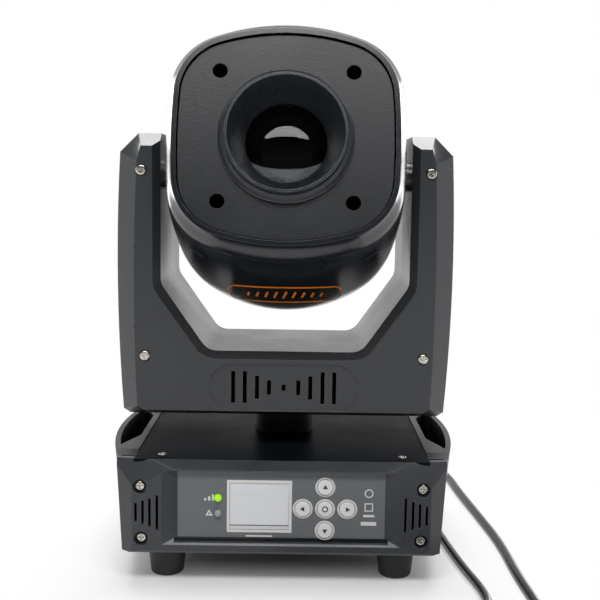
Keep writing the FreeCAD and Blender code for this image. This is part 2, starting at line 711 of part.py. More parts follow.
def mains_connector():
    """Appliance connector in the inlet, with its tapered strain relief."""
    y0 = REAR_FLAT_Y
    x = MAINS_X
    z = CONNECTOR_Z
    w = INLET_HALF_W - 3.5
    h = INLET_HALF_H - 3.5
    nose = box(x - w, x + w, y0 - 12, y0 + 6, z - h, z + h)
    grip = rounded_slab(x - w - 2, x + w + 2, z - h - 1.5, z + h + 1.5, y0 + 3, y0 + 20, 3.0)
    boot = cone(6.4, MAINS_D / 2 + 0.9, V(x, y0 + 20, z), MAINS_EXIT)
    return join([nose, grip, boot])


def lay_at(shape, x, y, turn):
    """Turn a piece that lies along +Y about Z, then set it down."""
    shape.rotate(V(0, 0, 0), V(0, 0, 1), turn)
    shape.translate(V(x, y, 0))
    return shape


PLUG_Z = 13.0              # middle of the mains plug above the floor
PLUG_BOOT = 26.0
PLUG_END = 56.0            # pin side of the plug's body from the end of its lead
PLUG_HALF_W = 13.0
PLUG_HALF_H = 12.0
PLUG_CORNER = 7.0
BLADE_X = 6.35
BLADE_THICK = 1.5
BLADE_LENGTH = 16.0
EARTH_PIN_R = 2.4
EARTH_PIN_Z = 5.5
COIL_TAIL = 19.0           # lead between the last turn and the plug


def mains_plug():
    """Moulded plug lying beside its coil, with two blades and a round earth pin."""
    turn_r = COIL_SHARE * MAINS_D / 2 + MAINS_D / 2
    z = PLUG_Z
    boot = cone(MAINS_D / 2 + 0.9, PLUG_CORNER, V(0, 0, 1.5 * MAINS_D), V(0, PLUG_BOOT, z))
    body = box(-PLUG_HALF_W, PLUG_HALF_W, PLUG_BOOT - 1, PLUG_END, z - PLUG_HALF_H, z + PLUG_HALF_H)
    edges = [e for e in body.Edges if abs(e.tangentAt(e.FirstParameter).y) > 0.9]
    body = body.makeFillet(PLUG_CORNER, edges)
    pins = []
    for s in (-1, 1):
        x0 = s * BLADE_X - BLADE_THICK / 2
        pins.append(box(x0, x0 + BLADE_THICK, PLUG_END - 1, PLUG_END + BLADE_LENGTH, z - 1, z + 5.3))
    low = z - EARTH_PIN_Z
    pins.append(rod(EARTH_PIN_R, V(0, PLUG_END - 1, low), V(0, PLUG_END + BLADE_LENGTH + 3, low)))
    return lay_at(join([boot, body] + pins), MAINS_COIL.x - COIL_TAIL, MAINS_COIL.y - turn_r, 90)


def signal_connector():
    x = SIGNAL_USED_X
    y0 = REAR_FLAT_Y
    z = CONNECTOR_Z
    nose = rod(9.5, V(x, y0 - 12, z), V(x, y0 + 26, z))
    boot = cone(8.6, SIGNAL_D / 2 + 0.8, V(x, y0 + 26, z), SIGNAL_EXIT)
    return join([nose, boot])


END_SHELL_R = 9.4
END_BOOT = 20.0
END_LENGTH = 62.0
END_POCKET = 14.0
SIGNAL_PIN_R = 1.15
SIGNAL_PIN_RING = 4.2


def signal_end_connector():
    """Three pin plug on the far end of the signal lead."""
    turn_r = COIL_SHARE * SIGNAL_D / 2 + SIGNAL_D / 2
    z = 1.5 * SIGNAL_D
    boot = cone(SIGNAL_D / 2 + 0.8, END_SHELL_R - 1, V(0, 0, z), V(0, END_BOOT, z))
    shell = rod(END_SHELL_R, V(0, END_BOOT, z), V(0, END_LENGTH, z))
    floor = END_LENGTH - END_POCKET
    shell = shell.cut(rod(END_SHELL_R - 1.4, V(0, floor, z), V(0, END_LENGTH + 1, z)))
    pins = []
    for i in range(3):
        a = math.radians(210 + 60 * i)
        c = V(SIGNAL_PIN_RING * math.cos(a), floor - 0.5, z + SIGNAL_PIN_RING * math.sin(a))
        pins.append(rod(SIGNAL_PIN_R, c, c + V(0, END_POCKET - 3, 0)))
    plug = join([boot, shell] + pins)
    return lay_at(plug, SIGNAL_COIL.x - turn_r, SIGNAL_COIL.y - COIL_TAIL, 180)


# ---------------------------------------------------------------- yoke
FACE_INSET_SIDE = 13.6     # how far the front face's edge lies inside the outer side
FACE_CHAMFER_Y = 14.0      # depth of that side facet
BEVEL_WIDTH = 5.0          # bevel round the opening, across and deep
BEVEL_DEPTH = 6.0
FRAME_PLATE = 3.0
FRAME_X = 90.4
FRAME_HALF_Y = 42.0
TRUNNION_R = 9.0
TRUNNION_BORE_R = 6.0
COLLAR_R = 10.8            # shoulder of the trunnion, through the wall of the arm
BEARING_R = 16.0
TILT_PULLEY_X = 98.0
TILT_MOTOR_Z = 131.0
PAN_MOTOR_X = -72.0
MOTOR_HALF = 17.5
YOKE_SCREWS = ((99.5, 278.6), (97.4, 149.8))
YOKE_VENT_Z = 128.0
DISH_HALF_LONG = 52.5      # shallow dish round the vents
DISH_HALF_TALL = 16.5
DISH_DEPTH = 0.9
YOKE_VENTS = ((0.0, 4.3), (10.3, 10.4), (18.7, 16.6), (27.3, 22.7), (35.5, 22.7))


def yoke_outline(y, inset, face):
    """Outer line of the yoke seen from the front; face is the smaller front face."""
    side = FACE_INSET_SIDE if face else 0.0
    low = YOKE_BOTTOM + inset + (5.0 if face else 0.0)
    top = YOKE_TOP - inset - (9.0 if face else 0.0)
    foot = V(YOKE_FOOT_WIDTH - inset - side * 0.86, y, low + 3)
    waist = V(YOKE_WAIST - inset - side, y, 200.0)
    shoulder_z = YOKE_TOP - 13.0 - inset * 0.5 - (6.0 if face else 0.0)
    shoulder = V(YOKE_SHOULDER - inset - side, y, shoulder_z)
    crest = V(YOKE_SHOULDER - 13.0 - inset * 0.5 - side * 0.25, y, top)
    heel = V(YOKE_FOOT_WIDTH - 5.0 - inset - side * 0.86, y, low)

    def left(p):
        return V(-p.x, p.y, p.z)

    right_side = Part.Arc(foot, waist, shoulder).toShape()
    left_side = Part.Arc(left(shoulder), left(waist), left(foot)).toShape()
    edges = [Part.makeLine(heel, foot), right_side, Part.makeLine(shoulder, crest)]
    edges += [Part.makeLine(crest, left(crest)), Part.makeLine(left(crest), left(shoulder)), left_side]
    edges += [Part.makeLine(left(foot), left(heel)), Part.makeLine(left(heel), heel)]
    return Part.Wire(edges)


def cradle_outline(y, grow):
    """The opening between the arms, wider by grow all round, with rounded corners."""
    arm = ARM_INNER + grow
    floor = CRADLE_FLOOR - grow
    slope_x = CRADLE_HALF_FLOOR + grow * 0.5
    knee_z = CRADLE_ARM_Z - grow * 0.5
    top = YOKE_TOP + 40.0
    half = [V(arm, y, top), V(arm, y, knee_z), V(slope_x, y, floor)]
    points = half + [V(-p.x, p.y, p.z) for p in reversed(half)]
    edges = []
    start = points[0]
    for before, corner, after in zip(points, points[1:], points[2:]):
        one = V(before - corner).normalize()
        two = V(after - corner).normalize()
        turn = math.pi - one.getAngle(two)
        radius = 13.0 + grow
        reach = radius * math.tan(turn / 2)
        a = corner + one * reach
        b = corner + two * reach
        inward = V(one + two).normalize()
        middle = corner + inward * (radius / math.cos(turn / 2) - radius)
        edges.append(Part.makeLine(start, a))
        edges.append(Part.Arc(a, middle, b).toShape())
        start = b
    edges.append(Part.makeLine(start, points[-1]))
    edges.append(Part.makeLine(points[-1], points[0]))
    return Part.Wire(edges)


def yoke_half(inset):
    """Front half of the yoke's block, without the opening."""
    front = -YOKE_HALF_DEPTH + inset
    knee = -YOKE_HALF_DEPTH + FACE_CHAMFER_Y
    face = loft([yoke_outline(front, inset, True), yoke_outline(knee, inset, False)])
    rest = slab(yoke_outline(knee, inset, False), V(0, -knee, 0))
    return join([face, rest])


def cradle_half(grow):
    bevel_y = -YOKE_HALF_DEPTH + BEVEL_DEPTH
    through = slab(cradle_outline(-YOKE_HALF_DEPTH - 1, grow), V(0, YOKE_HALF_DEPTH + 1, 0))
    if grow:
        return through
    bevel = loft([cradle_outline(-YOKE_HALF_DEPTH - 0.01, BEVEL_WIDTH), cradle_outline(bevel_y, 0.0)])
    return join([through, bevel])


def yoke_shell():
    wall = MOULD_WALL
    solid = yoke_half(0.0).cut(cradle_half(0.0))
    inside = yoke_half(wall)
    step = -YOKE_HALF_DEPTH + BEVEL_DEPTH + wall
    ahead = box(-BIG, BIG, -BIG, step, -BIG, BIG)
    near = inside.common(ahead).cut(cradle_half(wall + BEVEL_WIDTH))
    far = inside.cut(ahead).cut(cradle_half(wall))
    shell = solid.cut(near).cut(far)
    front = -YOKE_HALF_DEPTH
    bosses = []
    holes = []
    for s in (-1, 1):
        for x, z in YOKE_SCREWS:
            bosses.append(rod(4.6, V(s * x, front + 1, z), V(s * x, -FRAME_HALF_Y - 0.1, z)))
            holes.append(rod(1.7, V(s * x, front - 1, z), V(s * x, 1, z)))
            holes.append(rod(4.2, V(s * x, front - 1, z), V(s * x, front + 0.8, z)))
    shell = join([shell] + [b.common(solid) for b in bosses])
    floor_hole = rod(HUB_R + 3.0, V(0, 0, YOKE_BOTTOM - 1), V(0, 0, YOKE_BOTTOM + wall + 1))
    trunnion = rod(COLLAR_R + 0.6, V(-ARM_INNER - 8, 0, TILT_Z), V(ARM_INNER + 8, 0, TILT_Z))
    return carve(shell, holes + [floor_hole, trunnion])


def yoke_front_shell():
    front = -YOKE_HALF_DEPTH
    shell = yoke_shell()
    tall = DISH_HALF_TALL
    straight = DISH_HALF_LONG - tall
    deep = front + DISH_DEPTH
    parts = [box(-straight, straight, front - 1, deep, YOKE_VENT_Z - tall, YOKE_VENT_Z + tall)]
    for x in (-straight, straight):
        parts.append(rod(tall, V(x, front - 1, YOKE_VENT_Z), V(x, deep, YOKE_VENT_Z)))
    dish = join(parts)
    slots = [dish]
    for x, length in YOKE_VENTS:
        for s in sorted({-1, 1}):
            z0 = YOKE_VENT_Z - length / 2
            slots.append(box(s * x - 1.4, s * x + 1.4, front - 2, front + 5, z0, z0 + length))
    return carve(shell, slots)


def yoke_rear_shell():
    return mirror_y(yoke_shell())


def yoke_frame():
    """Bent steel fork: a floor plate and two upright plates."""
    z0 = YOKE_BOTTOM + MOULD_WALL + 0.2
    x1 = FRAME_X + FRAME_PLATE
    top = YOKE_TOP - MOULD_WALL - 3.5
    floor = box(-x1, x1, -FRAME_HALF_Y, FRAME_HALF_Y, z0, z0 + FRAME_PLATE)
    plates = [floor]
    tools = [rod(BEARING_R + 3.0, V(0, 0, 0), V(0, 0, YOKE_BOTTOM + 20))]
    for s in (-1, 1):
        xs = sorted((s * FRAME_X, s * x1))
        plates.append(box(xs[0], xs[1], -FRAME_HALF_Y, FRAME_HALF_Y, z0, top))
        across = V(s * (FRAME_X - 5), 0, TILT_Z)
        tools.append(rod(BEARING_R, across, across + V(s * 20, 0, 0)))
        for z in (185.0, 225.0):
            tools.append(rod(13.0, V(s * (FRAME_X - 5), 0, z), V(s * (x1 + 5), 0, z)))
        for t in (-1, 1):
            ys = sorted((t * FRAME_HALF_Y, t * (FRAME_HALF_Y - FRAME_PLATE)))
            for x, z in YOKE_SCREWS:
                ends = sorted((s * FRAME_X, s * (x + 5.0)))
                plates.append(box(ends[0], ends[1], ys[0], ys[1], z - 7.0, z + 7.0))
                hole = V(s * x, t * (FRAME_HALF_Y - 8), z)
                tools.append(rod(SCREW_HOLE_R + 0.1, hole, hole + V(0, t * 12, 0)))
    tools.append(rod(11.2, V(FRAME_X - 5, 0, TILT_MOTOR_Z), V(x1 + 5, 0, TILT_MOTOR_Z)))
    return carve(join(plates), tools)


def yoke_bearings():
    """One pan bearing round the spindle and two tilt bearings round the trunnions."""
    low = V(0, 0, HUB_TOP + 2)
    high = V(0, 0, PAN_PULLEY_Z - 3.5)
    rings = [tube(BEARING_R + 3.0, SPINDLE_R + RUN_FIT, low, high)]
    for s in (-1, 1):
        a = V(s * FRAME_X, 0, TILT_Z)
        b = V(s * (FRAME_X + 6.0), 0, TILT_Z)
        rings.append(tube(BEARING_R, TRUNNION_R + RUN_FIT, a, b))
    return Part.makeCompound(rings)


def stepper(face, way, side, length):
    """Square motor; face is the mounting face, way points out of it."""
    n = V(way).normalize()
    u = V(side).normalize()
    w = n.cross(u)
    cut_c = 3.0
    h = MOTOR_HALF
    corners = [(h, -h + cut_c), (h, h - cut_c), (h - cut_c, h), (-h + cut_c, h)]
    corners += [(-h, h - cut_c), (-h, -h + cut_c), (-h + cut_c, -h), (h - cut_c, -h)]
    outline = polygon([face + u * a + w * b for a, b in corners])
    case = slab(outline, n * -length)
    boss = rod(11.0, face - n * 1, face + n * 2.0)
    band = carve(slab(outline, n * -(length - 12)), [rod(24.0, face, face - n * length)])
    band.translate(n * -6)
    motor = join([case, boss]).cut(band)
    return motor.cut(rod(2.5 + RUN_FIT, face - n * (length - 3), face + n * 5))


TILT_MOTOR_LEN = 30.0
PAN_MOTOR_LEN = 19.0
PAN_MOTOR_FACE = PAN_PULLEY_Z + BELT_WIDTH + 6.0


def yoke_motors():
    tilt = stepper(V(FRAME_X, 0, TILT_MOTOR_Z), V(1, 0, 0), V(0, 1, 0), TILT_MOTOR_LEN)
    pan = stepper(V(PAN_MOTOR_X, 0, PAN_MOTOR_FACE), V(0, 0, -1), V(1, 0, 0), PAN_MOTOR_LEN)
    return Part.makeCompound([tilt, pan])


def pan_motor_pulley():
    start = V(PAN_MOTOR_X, 0, PAN_PULLEY_Z)
    wheel = pulley(MOTOR_PULLEY_TEETH, start, V(0, 0, 1), V(1, 0, 0), BELT_WIDTH + 1.5, 0)
    shaft = rod(2.5, start, V(PAN_MOTOR_X, 0, PAN_MOTOR_FACE + 16))
    return join([wheel, shaft])


def tilt_motor_pulley():
    start = V(TILT_PULLEY_X, 0, TILT_MOTOR_Z)
    wheel = pulley(MOTOR_PULLEY_TEETH, start, V(1, 0, 0), V(0, 1, 0), BELT_WIDTH + 1.5, 0)
    shaft = rod(2.5, V(FRAME_X - 20, 0, TILT_MOTOR_Z), start)
    return join([wheel, shaft])


def pan_belt():
    z = PAN_PULLEY_Z + 0.75
    big = pulley_r(PAN_PULLEY_TEETH)
    small = pulley_r(MOTOR_PULLEY_TEETH)
    return belt(V(0, 0, z), big, V(PAN_MOTOR_X, 0, z), small, V(0, 0, 1), BELT_WIDTH)


def tilt_belt():
    x = TILT_PULLEY_X + 0.75
    big = pulley_r(TILT_PULLEY_TEETH)
    small = pulley_r(MOTOR_PULLEY_TEETH)
    return belt(V(x, 0, TILT_Z), big, V(x, 0, TILT_MOTOR_Z), small, V(1, 0, 0), BELT_WIDTH)


def yoke_screws():
    screws = []
    for s in (-1, 1):
        for t in (-1, 1):
            for x, z in YOKE_SCREWS:
                point = V(s * x, t * (YOKE_HALF_DEPTH - 0.8), z)
                screws.append(pan_head_screw(point, V(0, -t, 0), 3.7, 2.2, SCREW_SHANK_R, 21.0))
    return Part.makeCompound(screws)


def base_screws():
    screws = []
    for s in (-1, 1):
        for t in (-1, 1):
            for x, z in PANEL_SCREWS:
                point = V(s * x, t * (BASE_HALF_DEPTH - SCREW_WELL_DEPTH), z)
                screws.append(pan_head_screw(point, V(0, -t, 0), 3.6, 2.4, SCREW_SHANK_R, 13.0))
            point = V(s * PLATE_SCREW_X, t * PLATE_SCREW_Y, BASE_TOP)
            screws.append(pan_head_screw(point, V(0, 0, -1), 2.8, 1.0, SCREW_SHANK_R, 6.0))
            for z in SIDE_SCREW_Z:
                face = arc_x(z, SIDE_SCREW_Y) - SIDE_WELL_DEPTH
                point = V(s * face, t * SIDE_SCREW_Y, z)
                screws.append(pan_head_screw(point, V(-s, 0, 0), 3.4, 1.2, SCREW_SHANK_R, 1.5))
    return Part.makeCompound(screws)


# ---------------------------------------------------------------- head, level, along its axis
def head_place(shape):
    turned = shape.copy()
    turned.rotate(V(0, 0, 0), V(1, 0, 0), -HEAD_TILT_UP)
    turned.translate(V(0, 0, TILT_Z))
    return turned


def arc_outline(ahead, half_w, half_h, crown_r, side_r, corner_r):
    """Closed line of eight tangent arcs round the optical axis."""
    top_c = half_h - crown_r
    side_c = half_w - side_r
    d = math.hypot(side_c, top_c)
    ra = crown_r - corner_r
    rb = side_r - corner_r
    along = (ra ** 2 - rb ** 2 + d ** 2) / (2 * d)
    off = math.sqrt(max(ra ** 2 - along ** 2, 0.0))
    ux = side_c / d
    uz = -top_c / d
    cx = ux * along - uz * off
    cz = top_c + uz * along + ux * off
    if cx < 0 or cz < 0:
        cx = ux * along + uz * off
        cz = top_c + uz * along - ux * off
    y = -ahead
    k = math.hypot(cx, cz - top_c)
    top_t = V(cx + (cx / k) * corner_r, y, cz + ((cz - top_c) / k) * corner_r)
    m = math.hypot(cx - side_c, cz)
    side_t = V(cx + ((cx - side_c) / m) * corner_r, y, cz + (cz / m) * corner_r)
    mx = top_t.x - cx + side_t.x - cx
    mz = top_t.z - cz + side_t.z - cz
    q = math.hypot(mx, mz)
    mid = V(cx + mx / q * corner_r, y, cz + mz / q * corner_r)

    def flip(p, sx, sz):
        return V(sx * p.x, p.y, sz * p.z)

    arcs = []
    arcs.append(Part.Arc(flip(top_t, -1, 1), V(0, y, half_h), top_t))
    arcs.append(Part.Arc(top_t, mid, side_t))
    arcs.append(Part.Arc(side_t, V(half_w, y, 0), flip(side_t, 1, -1)))
    arcs.append(Part.Arc(flip(side_t, 1, -1), flip(mid, 1, -1), flip(top_t, 1, -1)))
    arcs.append(Part.Arc(flip(top_t, 1, -1), V(0, y, -half_h), flip(top_t, -1, -1)))
    arcs.append(Part.Arc(flip(top_t, -1, -1), flip(mid, -1, -1), flip(side_t, -1, -1)))
    arcs.append(Part.Arc(flip(side_t, -1, -1), V(-half_w, y, 0), flip(side_t, -1, 1)))
    arcs.append(Part.Arc(flip(side_t, -1, 1), flip(mid, -1, 1), flip(top_t, -1, 1)))
    return Part.Wire([a.toShape() for a in arcs])


# ahead of the tilt axis, half width, half height, crown, side and corner radius
BODY_SECTIONS = (
    (81.6, 79.6, 81.0, 140.0, 420.0, 44.0),
    (60.0, 81.4, 89.5, 118.0, 420.0, 50.0),
    (20.0, 82.2, 98.0, 102.0, 500.0, 56.0),
    (0.0, HEAD_HALF_WIDTH, HEAD_HALF_HEIGHT, 100.0, 500.0, 56.0),
    (-30.0, 81.6, 96.0, 104.0, 460.0, 54.0),
    (-70.0, 76.0, 82.0, 130.0, 400.0, 46.0),
    (-HEAD_REAR, 63.0, 64.0, 140.0, 360.0, 36.0),
)
BEZEL_SECTIONS = (
    (82.0, 79.9, 81.4, 140.0, 420.0, 44.0),
    (88.0, 78.6, 78.8, 142.0, 430.0, 43.0),
    (93.5, 76.2, 75.0, 146.0, 440.0, 42.0),
    (HEAD_FRONT, FACE_HALF_WIDTH, FACE_HALF_HEIGHT, 150.0, 450.0, 41.0),
)
LIP = 3.4


def section_loft(sections, inset, grow_ends=0.0, ruled=False):
    wires = []
    for i, (ahead, w, h, crown, side, corner) in enumerate(sections):
        if i == 0:
            ahead += math.copysign(grow_ends, sections[0][0] - sections[-1][0])
        if i == len(sections) - 1:
            ahead -= math.copysign(grow_ends, sections[0][0] - sections[-1][0])
        sizes = [size - inset for size in (w, h, crown, side, corner)]
        wires.append(arc_outline(ahead, *sizes))
    return Part.makeLoft(wires, True, ruled)


def head_cover_ring():
    outer = section_loft(BODY_SECTIONS, 0.0)
    inner = section_loft(BODY_SECTIONS, MOULD_WALL, 0.05)
    trunnion = rod(COLLAR_R + 0.4, V(-100, 0, 0), V(100, 0, 0))
    slots = [inner, trunnion]
    for i in range(7):
        ahead = -44.0 - 6.0 * i
        for low, high in ((-110, -60), (60, 110)):
            slots.append(box(-30, 30, -ahead, -ahead + 2.2, low, high))
    return carve(outer, slots)


LATCH_X = 59.0
LATCH_AHEAD = 66.0


def head_cover(side):
    """Upper (1) or lower (-1) half of the head's covers, with two latch slots near the front."""
    ring = head_cover_ring()
    half = box(-120, 120, -120, 120, 0, 140) if side > 0 else box(-120, 120, -120, 120, -140, 0)
    cover = ring.common(half)
    slots = []
    for x in (-LATCH_X, LATCH_X):
        slots.append(box(x - 4.5, x + 4.5, -LATCH_AHEAD - 1.3, -LATCH_AHEAD + 1.3, -130, 130))
    return carve(cover, slots)


def head_bezel():
    outer = section_loft(BEZEL_SECTIONS, 0.0)
    inner = section_loft(BEZEL_SECTIONS, LIP, 0.05)
    return outer.cut(inner)


PLATE_FRONT = HEAD_FRONT - 2.0
PLATE_THICK = 2.5
FACE_HOLE = 44.0
FACE_HOLE_R = 5.0
HOOD_OUTER_R = 45.0


def face_section(ahead, inset):
    w = FACE_HALF_WIDTH - LIP - inset
    h = FACE_HALF_HEIGHT - LIP - inset
    return arc_outline(ahead, w, h, 150.0 - LIP - inset, 450.0 - LIP - inset, 41.0 - LIP - inset)


def face_plate():
    back = PLATE_FRONT - PLATE_THICK
    plate = slab(face_section(back, 0.8), V(0, -PLATE_THICK, 0))
    rim_outer = slab(face_section(back - 3.0, 0.8), V(0, -3.1, 0))
    rim = rim_outer.cut(slab(face_section(back - 3.1, 3.0), V(0, -3.4, 0)))
    tools = [rod(HOOD_OUTER_R - 2.0, V(0, 0, 0), V(0, -BIG, 0))]
    wells = []
    for s in (-1, 1):
        for t in (-1, 1):
            x = s * FACE_HOLE
            z = t * FACE_HOLE
            rear = V(x, -back + 12.0, z)
            wells.append(tube(FACE_HOLE_R + 1.4, FACE_HOLE_R, rear, V(x, -back - 0.5, z)))
            tools.append(rod(FACE_HOLE_R, V(x, 0, z), V(x, -BIG, z)))
    plate = join([plate, rim] + wells)
    return carve(plate, tools)


def revolve_profile(points):
    """Ring from radius and distance ahead, turned about the optical axis."""
    wire = polygon([V(r, -a, 0) for r, a in points])
    return Part.Face(wire).revolve(V(0, 0, 0), V(0, 1, 0), 360)


HOOD_FRONT = HEAD_FRONT + HOOD_PROUD
LENS_FRONT = 80.0


def lens_hood():
    flange = PLATE_FRONT + 0.3
    spigot = HOOD_OUTER_R - 2.3
    seat = LENS_R + 2.5
    bore = LENS_R - 1.6
    points = [
        (HOOD_RIM_R, HOOD_FRONT), (HOOD_RIM_R - 1.6, HOOD_FRONT), (bore, LENS_FRONT + 1.0),
        (bore, LENS_FRONT - 2.0), (seat, LENS_FRONT - 2.0), (seat, LENS_FRONT + 1.5),
        (HOOD_RIM_R - 3.4, flange - 2.0), (spigot, flange - 2.0), (spigot, flange - 0.3),
        (HOOD_OUTER_R, flange - 0.3), (HOOD_OUTER_R, flange + 1.2), (HOOD_RIM_R + 2.6, flange + 2.0),
        (HOOD_RIM_R + 0.8, flange + 3.4),
    ]
    return revolve_profile(points)


def lens_solid(radius, edge, front_at, bulge):
    """Flat at the back, convex at the front."""
    sphere_r = (radius ** 2 + bulge ** 2) / (2 * bulge)
    blank = rod(radius, V(0, -(front_at - edge - bulge), 0), V(0, -front_at, 0))
    ball = Part.makeSphere(sphere_r, V(0, -(front_at - sphere_r), 0))
    return blank.common(ball)


def front_lens():
    return lens_solid(LENS_R - 0.3, 4.0, LENS_FRONT - 2.3 + 1.5, 7.5)


CHASSIS_X = 64.0
CHASSIS_HALF_H = 58.0
BULKHEADS = (62.0, 6.0, -34.0)
ROD_X = 34.0
ROD_R = 2.0


def optics_chassis():
    """Folded sheet carrier: two side plates, three bulkheads and the barrel of the front lens."""
    parts = []
    for s in (-1, 1):
        xs = sorted((s * CHASSIS_X, s * (CHASSIS_X + 2)))
        parts.append(box(xs[0], xs[1], -63, 46, -CHASSIS_HALF_H + 16, CHASSIS_HALF_H - 16))
    half_w = CHASSIS_X + 1
    for ahead in BULKHEADS:
        parts.append(box(-half_w, half_w, -ahead - 1, -ahead + 1, -CHASSIS_HALF_H, CHASSIS_HALF_H))
    parts.append(rod(LENS_R + 4.0, V(0, -61, 0), V(0, -(LENS_FRONT - 2.3), 0)))
    body = join(parts)
    tools = [rod(LENS_R - 0.1, V(0, -67, 0), V(0, -100, 0))]
    tools.append(rod(LENS_R - 4, V(0, -50, 0), V(0, -100, 0)))
    tools.append(rod(14.0, V(0, 30, 0), V(0, 38, 0)))
    tools.append(rod(18.0, V(0, -2, 0), V(0, -10, 0)))
    for s in (-1, 1):
        tools.append(rod(ROD_R, V(s * ROD_X, -2, 0), V(s * ROD_X, -70, 0)))
        tools.append(rod(TRUNNION_BORE_R, V(s * 50, 0, 0), V(s * 80, 0, 0)))
    tools.append(rod(3.0, V(0, -12, WHEEL_OFFSET), V(0, 0, WHEEL_OFFSET)))
    tools.append(rod(3.0, V(0, 28, -WHEEL_OFFSET), V(0, 40, -WHEEL_OFFSET)))
    return carve(body, tools)


def tilt_trunnions():
    """Hollow flanged shafts, one each side, that carry the head in the arms."""
    shafts = []
    for s in (-1, 1):
        inner = V(s * (CHASSIS_X + 2), 0, 0)
        end = V(s * (TILT_PULLEY_X + BELT_WIDTH + 6), 0, 0)
        shaft = rod(TRUNNION_R, inner, end)
        flange = rod(19.0, inner, inner + V(s * 3.5, 0, 0))
        collar = rod(COLLAR_R, inner, V(s * (FRAME_X - GAP), 0, 0))
        body = join([shaft, flange, collar])
        shafts.append(body.cut(rod(TRUNNION_BORE_R, inner - V(s * 5, 0, 0), end + V(s * 5, 0, 0))))
    return Part.makeCompound(shafts)


def tilt_pulley():
    start = V(TILT_PULLEY_X, 0, 0)
    width = BELT_WIDTH + 1.5
    return pulley(TILT_PULLEY_TEETH, start, V(1, 0, 0), V(0, 1, 0), width, TRUNNION_R)


def guide_rods():
    rods = [rod(ROD_R, V(s * ROD_X, -7, 0), V(s * ROD_X, -63, 0)) for s in (-1, 1)]
    return Part.makeCompound(rods)


FOCUS_REST = 33.0
PINION_R = 6.0
PINION_X = 48.0


def focus_carriage():
    y = -FOCUS_REST
    ring = tube(25.0, 20.0, V(0, y + 5, 0), V(0, y - 5, 0))
    parts = [ring]
    bores = []
    for s in (-1, 1):
        xs = sorted((s * 22.5, s * (ROD_X + 5)))
        parts.append(box(xs[0], xs[1], y - 5, y + 5, -4.5, 4.5))
        bores.append(rod(ROD_R + RUN_FIT, V(s * ROD_X, y - 9, 0), V(s * ROD_X, y + 9, 0)))
    rack = box(PINION_X - PINION_R - GAP - 4.2, PINION_X - PINION_R - GAP, y - 9, y + 9, -4, 4)
    return carve(join(parts + [rack]), bores + [rod(20.0, V(0, y + 20, 0), V(0, y - 20, 0))])


def focus_lens():
    y = FOCUS_REST
    return lens_solid(19.9, 3.0, y + 4.5, 5.0)


def focus_pinion():
    y = -FOCUS_REST
    wheel = rod(PINION_R, V(PINION_X, y, -3.5), V(PINION_X, y, 3.5))
    notches = []
    for i in range(18):
        a = math.radians(20 * i)
        c = V(PINION_X + PINION_R * math.cos(a), y + PINION_R * math.sin(a), -5)
        notches.append(rod(0.45, c, c + V(0, 0, 10)))
    wheel = carve(wheel, notches)
    return wheel.fuse(rod(1.5, V(PINION_X, y, 3), V(PINION_X, y, 14)))


MINI_HALF = 12.0


def mini_motor(face, way, length):
    n = V(way).normalize()
    case = rod(MINI_HALF, face - n * length, face)
    return case.cut(rod(1.5 + RUN_FIT, face - n * (length - 2), face + n))


COLOUR_AT = -20.0
PATTERN_AT = -12.0
COLOUR_MOTOR_LEN = 12.0
PATTERN_MOTOR_LEN = 9.0
WHEEL_THICK = 1.5


def bulkhead_front(index):
    return -BULKHEADS[index] - 1.0


def bulkhead_back(index):
    return -BULKHEADS[index] + 1.0


def head_motors():
    """Motors of the colour wheel, the pattern wheel and the focus drive."""
    colour = mini_motor(V(0, bulkhead_front(1), WHEEL_OFFSET), V(0, 1, 0), COLOUR_MOTOR_LEN)
    pattern = mini_motor(V(0, bulkhead_back(2), -WHEEL_OFFSET), V(0, -1, 0), PATTERN_MOTOR_LEN)
    focus = mini_motor(V(PINION_X, -FOCUS_REST, 7.0), V(0, 0, -1), 12.0)
    return Part.makeCompound([colour, pattern, focus])


def wheel(ahead, centre_z, holes, hole_r):
    y = -ahead
    disc = rod(WHEEL_R, V(0, y, centre_z), V(0, y - WHEEL_THICK, centre_z))
    cuts = []
    for i in range(holes):
        a = math.radians(90 if centre_z < 0 else 270) + 2 * math.pi * i / holes
        c = V(WHEEL_OFFSET * math.cos(a), y + 2, centre_z + WHEEL_OFFSET * math.sin(a))
        cuts.append(rod(hole_r, c, c - V(0, 6, 0)))
    if centre_z > 0:
        motor_end = bulkhead_front(1) - COLOUR_MOTOR_LEN + 3
    else:
        motor_end = bulkhead_back(2) + PATTERN_MOTOR_LEN - 3
    shaft = rod(1.5, V(0, y, centre_z), V(0, motor_end, centre_z))
    hub = rod(6.0, V(0, y + 2.0, centre_z), V(0, y - WHEEL_THICK - 2.0, centre_z))
    return join([carve(disc, cuts), hub, shaft])


HEATSINK_FRONT = -46.0
HEATSINK_DEPTH = 26.0
HEATSINK_HALF = 42.0


def heatsink():
    fins = 11
    pitch = 2 * HEATSINK_HALF / (fins - 1) * 0.975
    half = HEATSINK_HALF
    front = -HEATSINK_FRONT
    base = box(-half, half, front, front + 6, -half, half)
    parts = [base]
    for i in range(fins):
        x = -half + i * pitch
        parts.append(box(x, x + 2.0, front + 5, front + HEATSINK_DEPTH, -half, half))
    return join(parts)


def led_engine():
    front = -HEATSINK_FRONT
    board = box(-18, 18, front - 2, front, -18, 18)
    dome = Part.makeSphere(8.0, V(0, front - 2, 0)).common(box(-20, 20, front - 20, front - 2, -20, 20))
    frame = rod(11.0, V(0, front - 3.5, 0), V(0, front - 2, 0))
    return join([board, frame, dome])


FAN_FRONT = -74.0
FAN_DEPTH = 14.0
FAN_HALF = 40.0


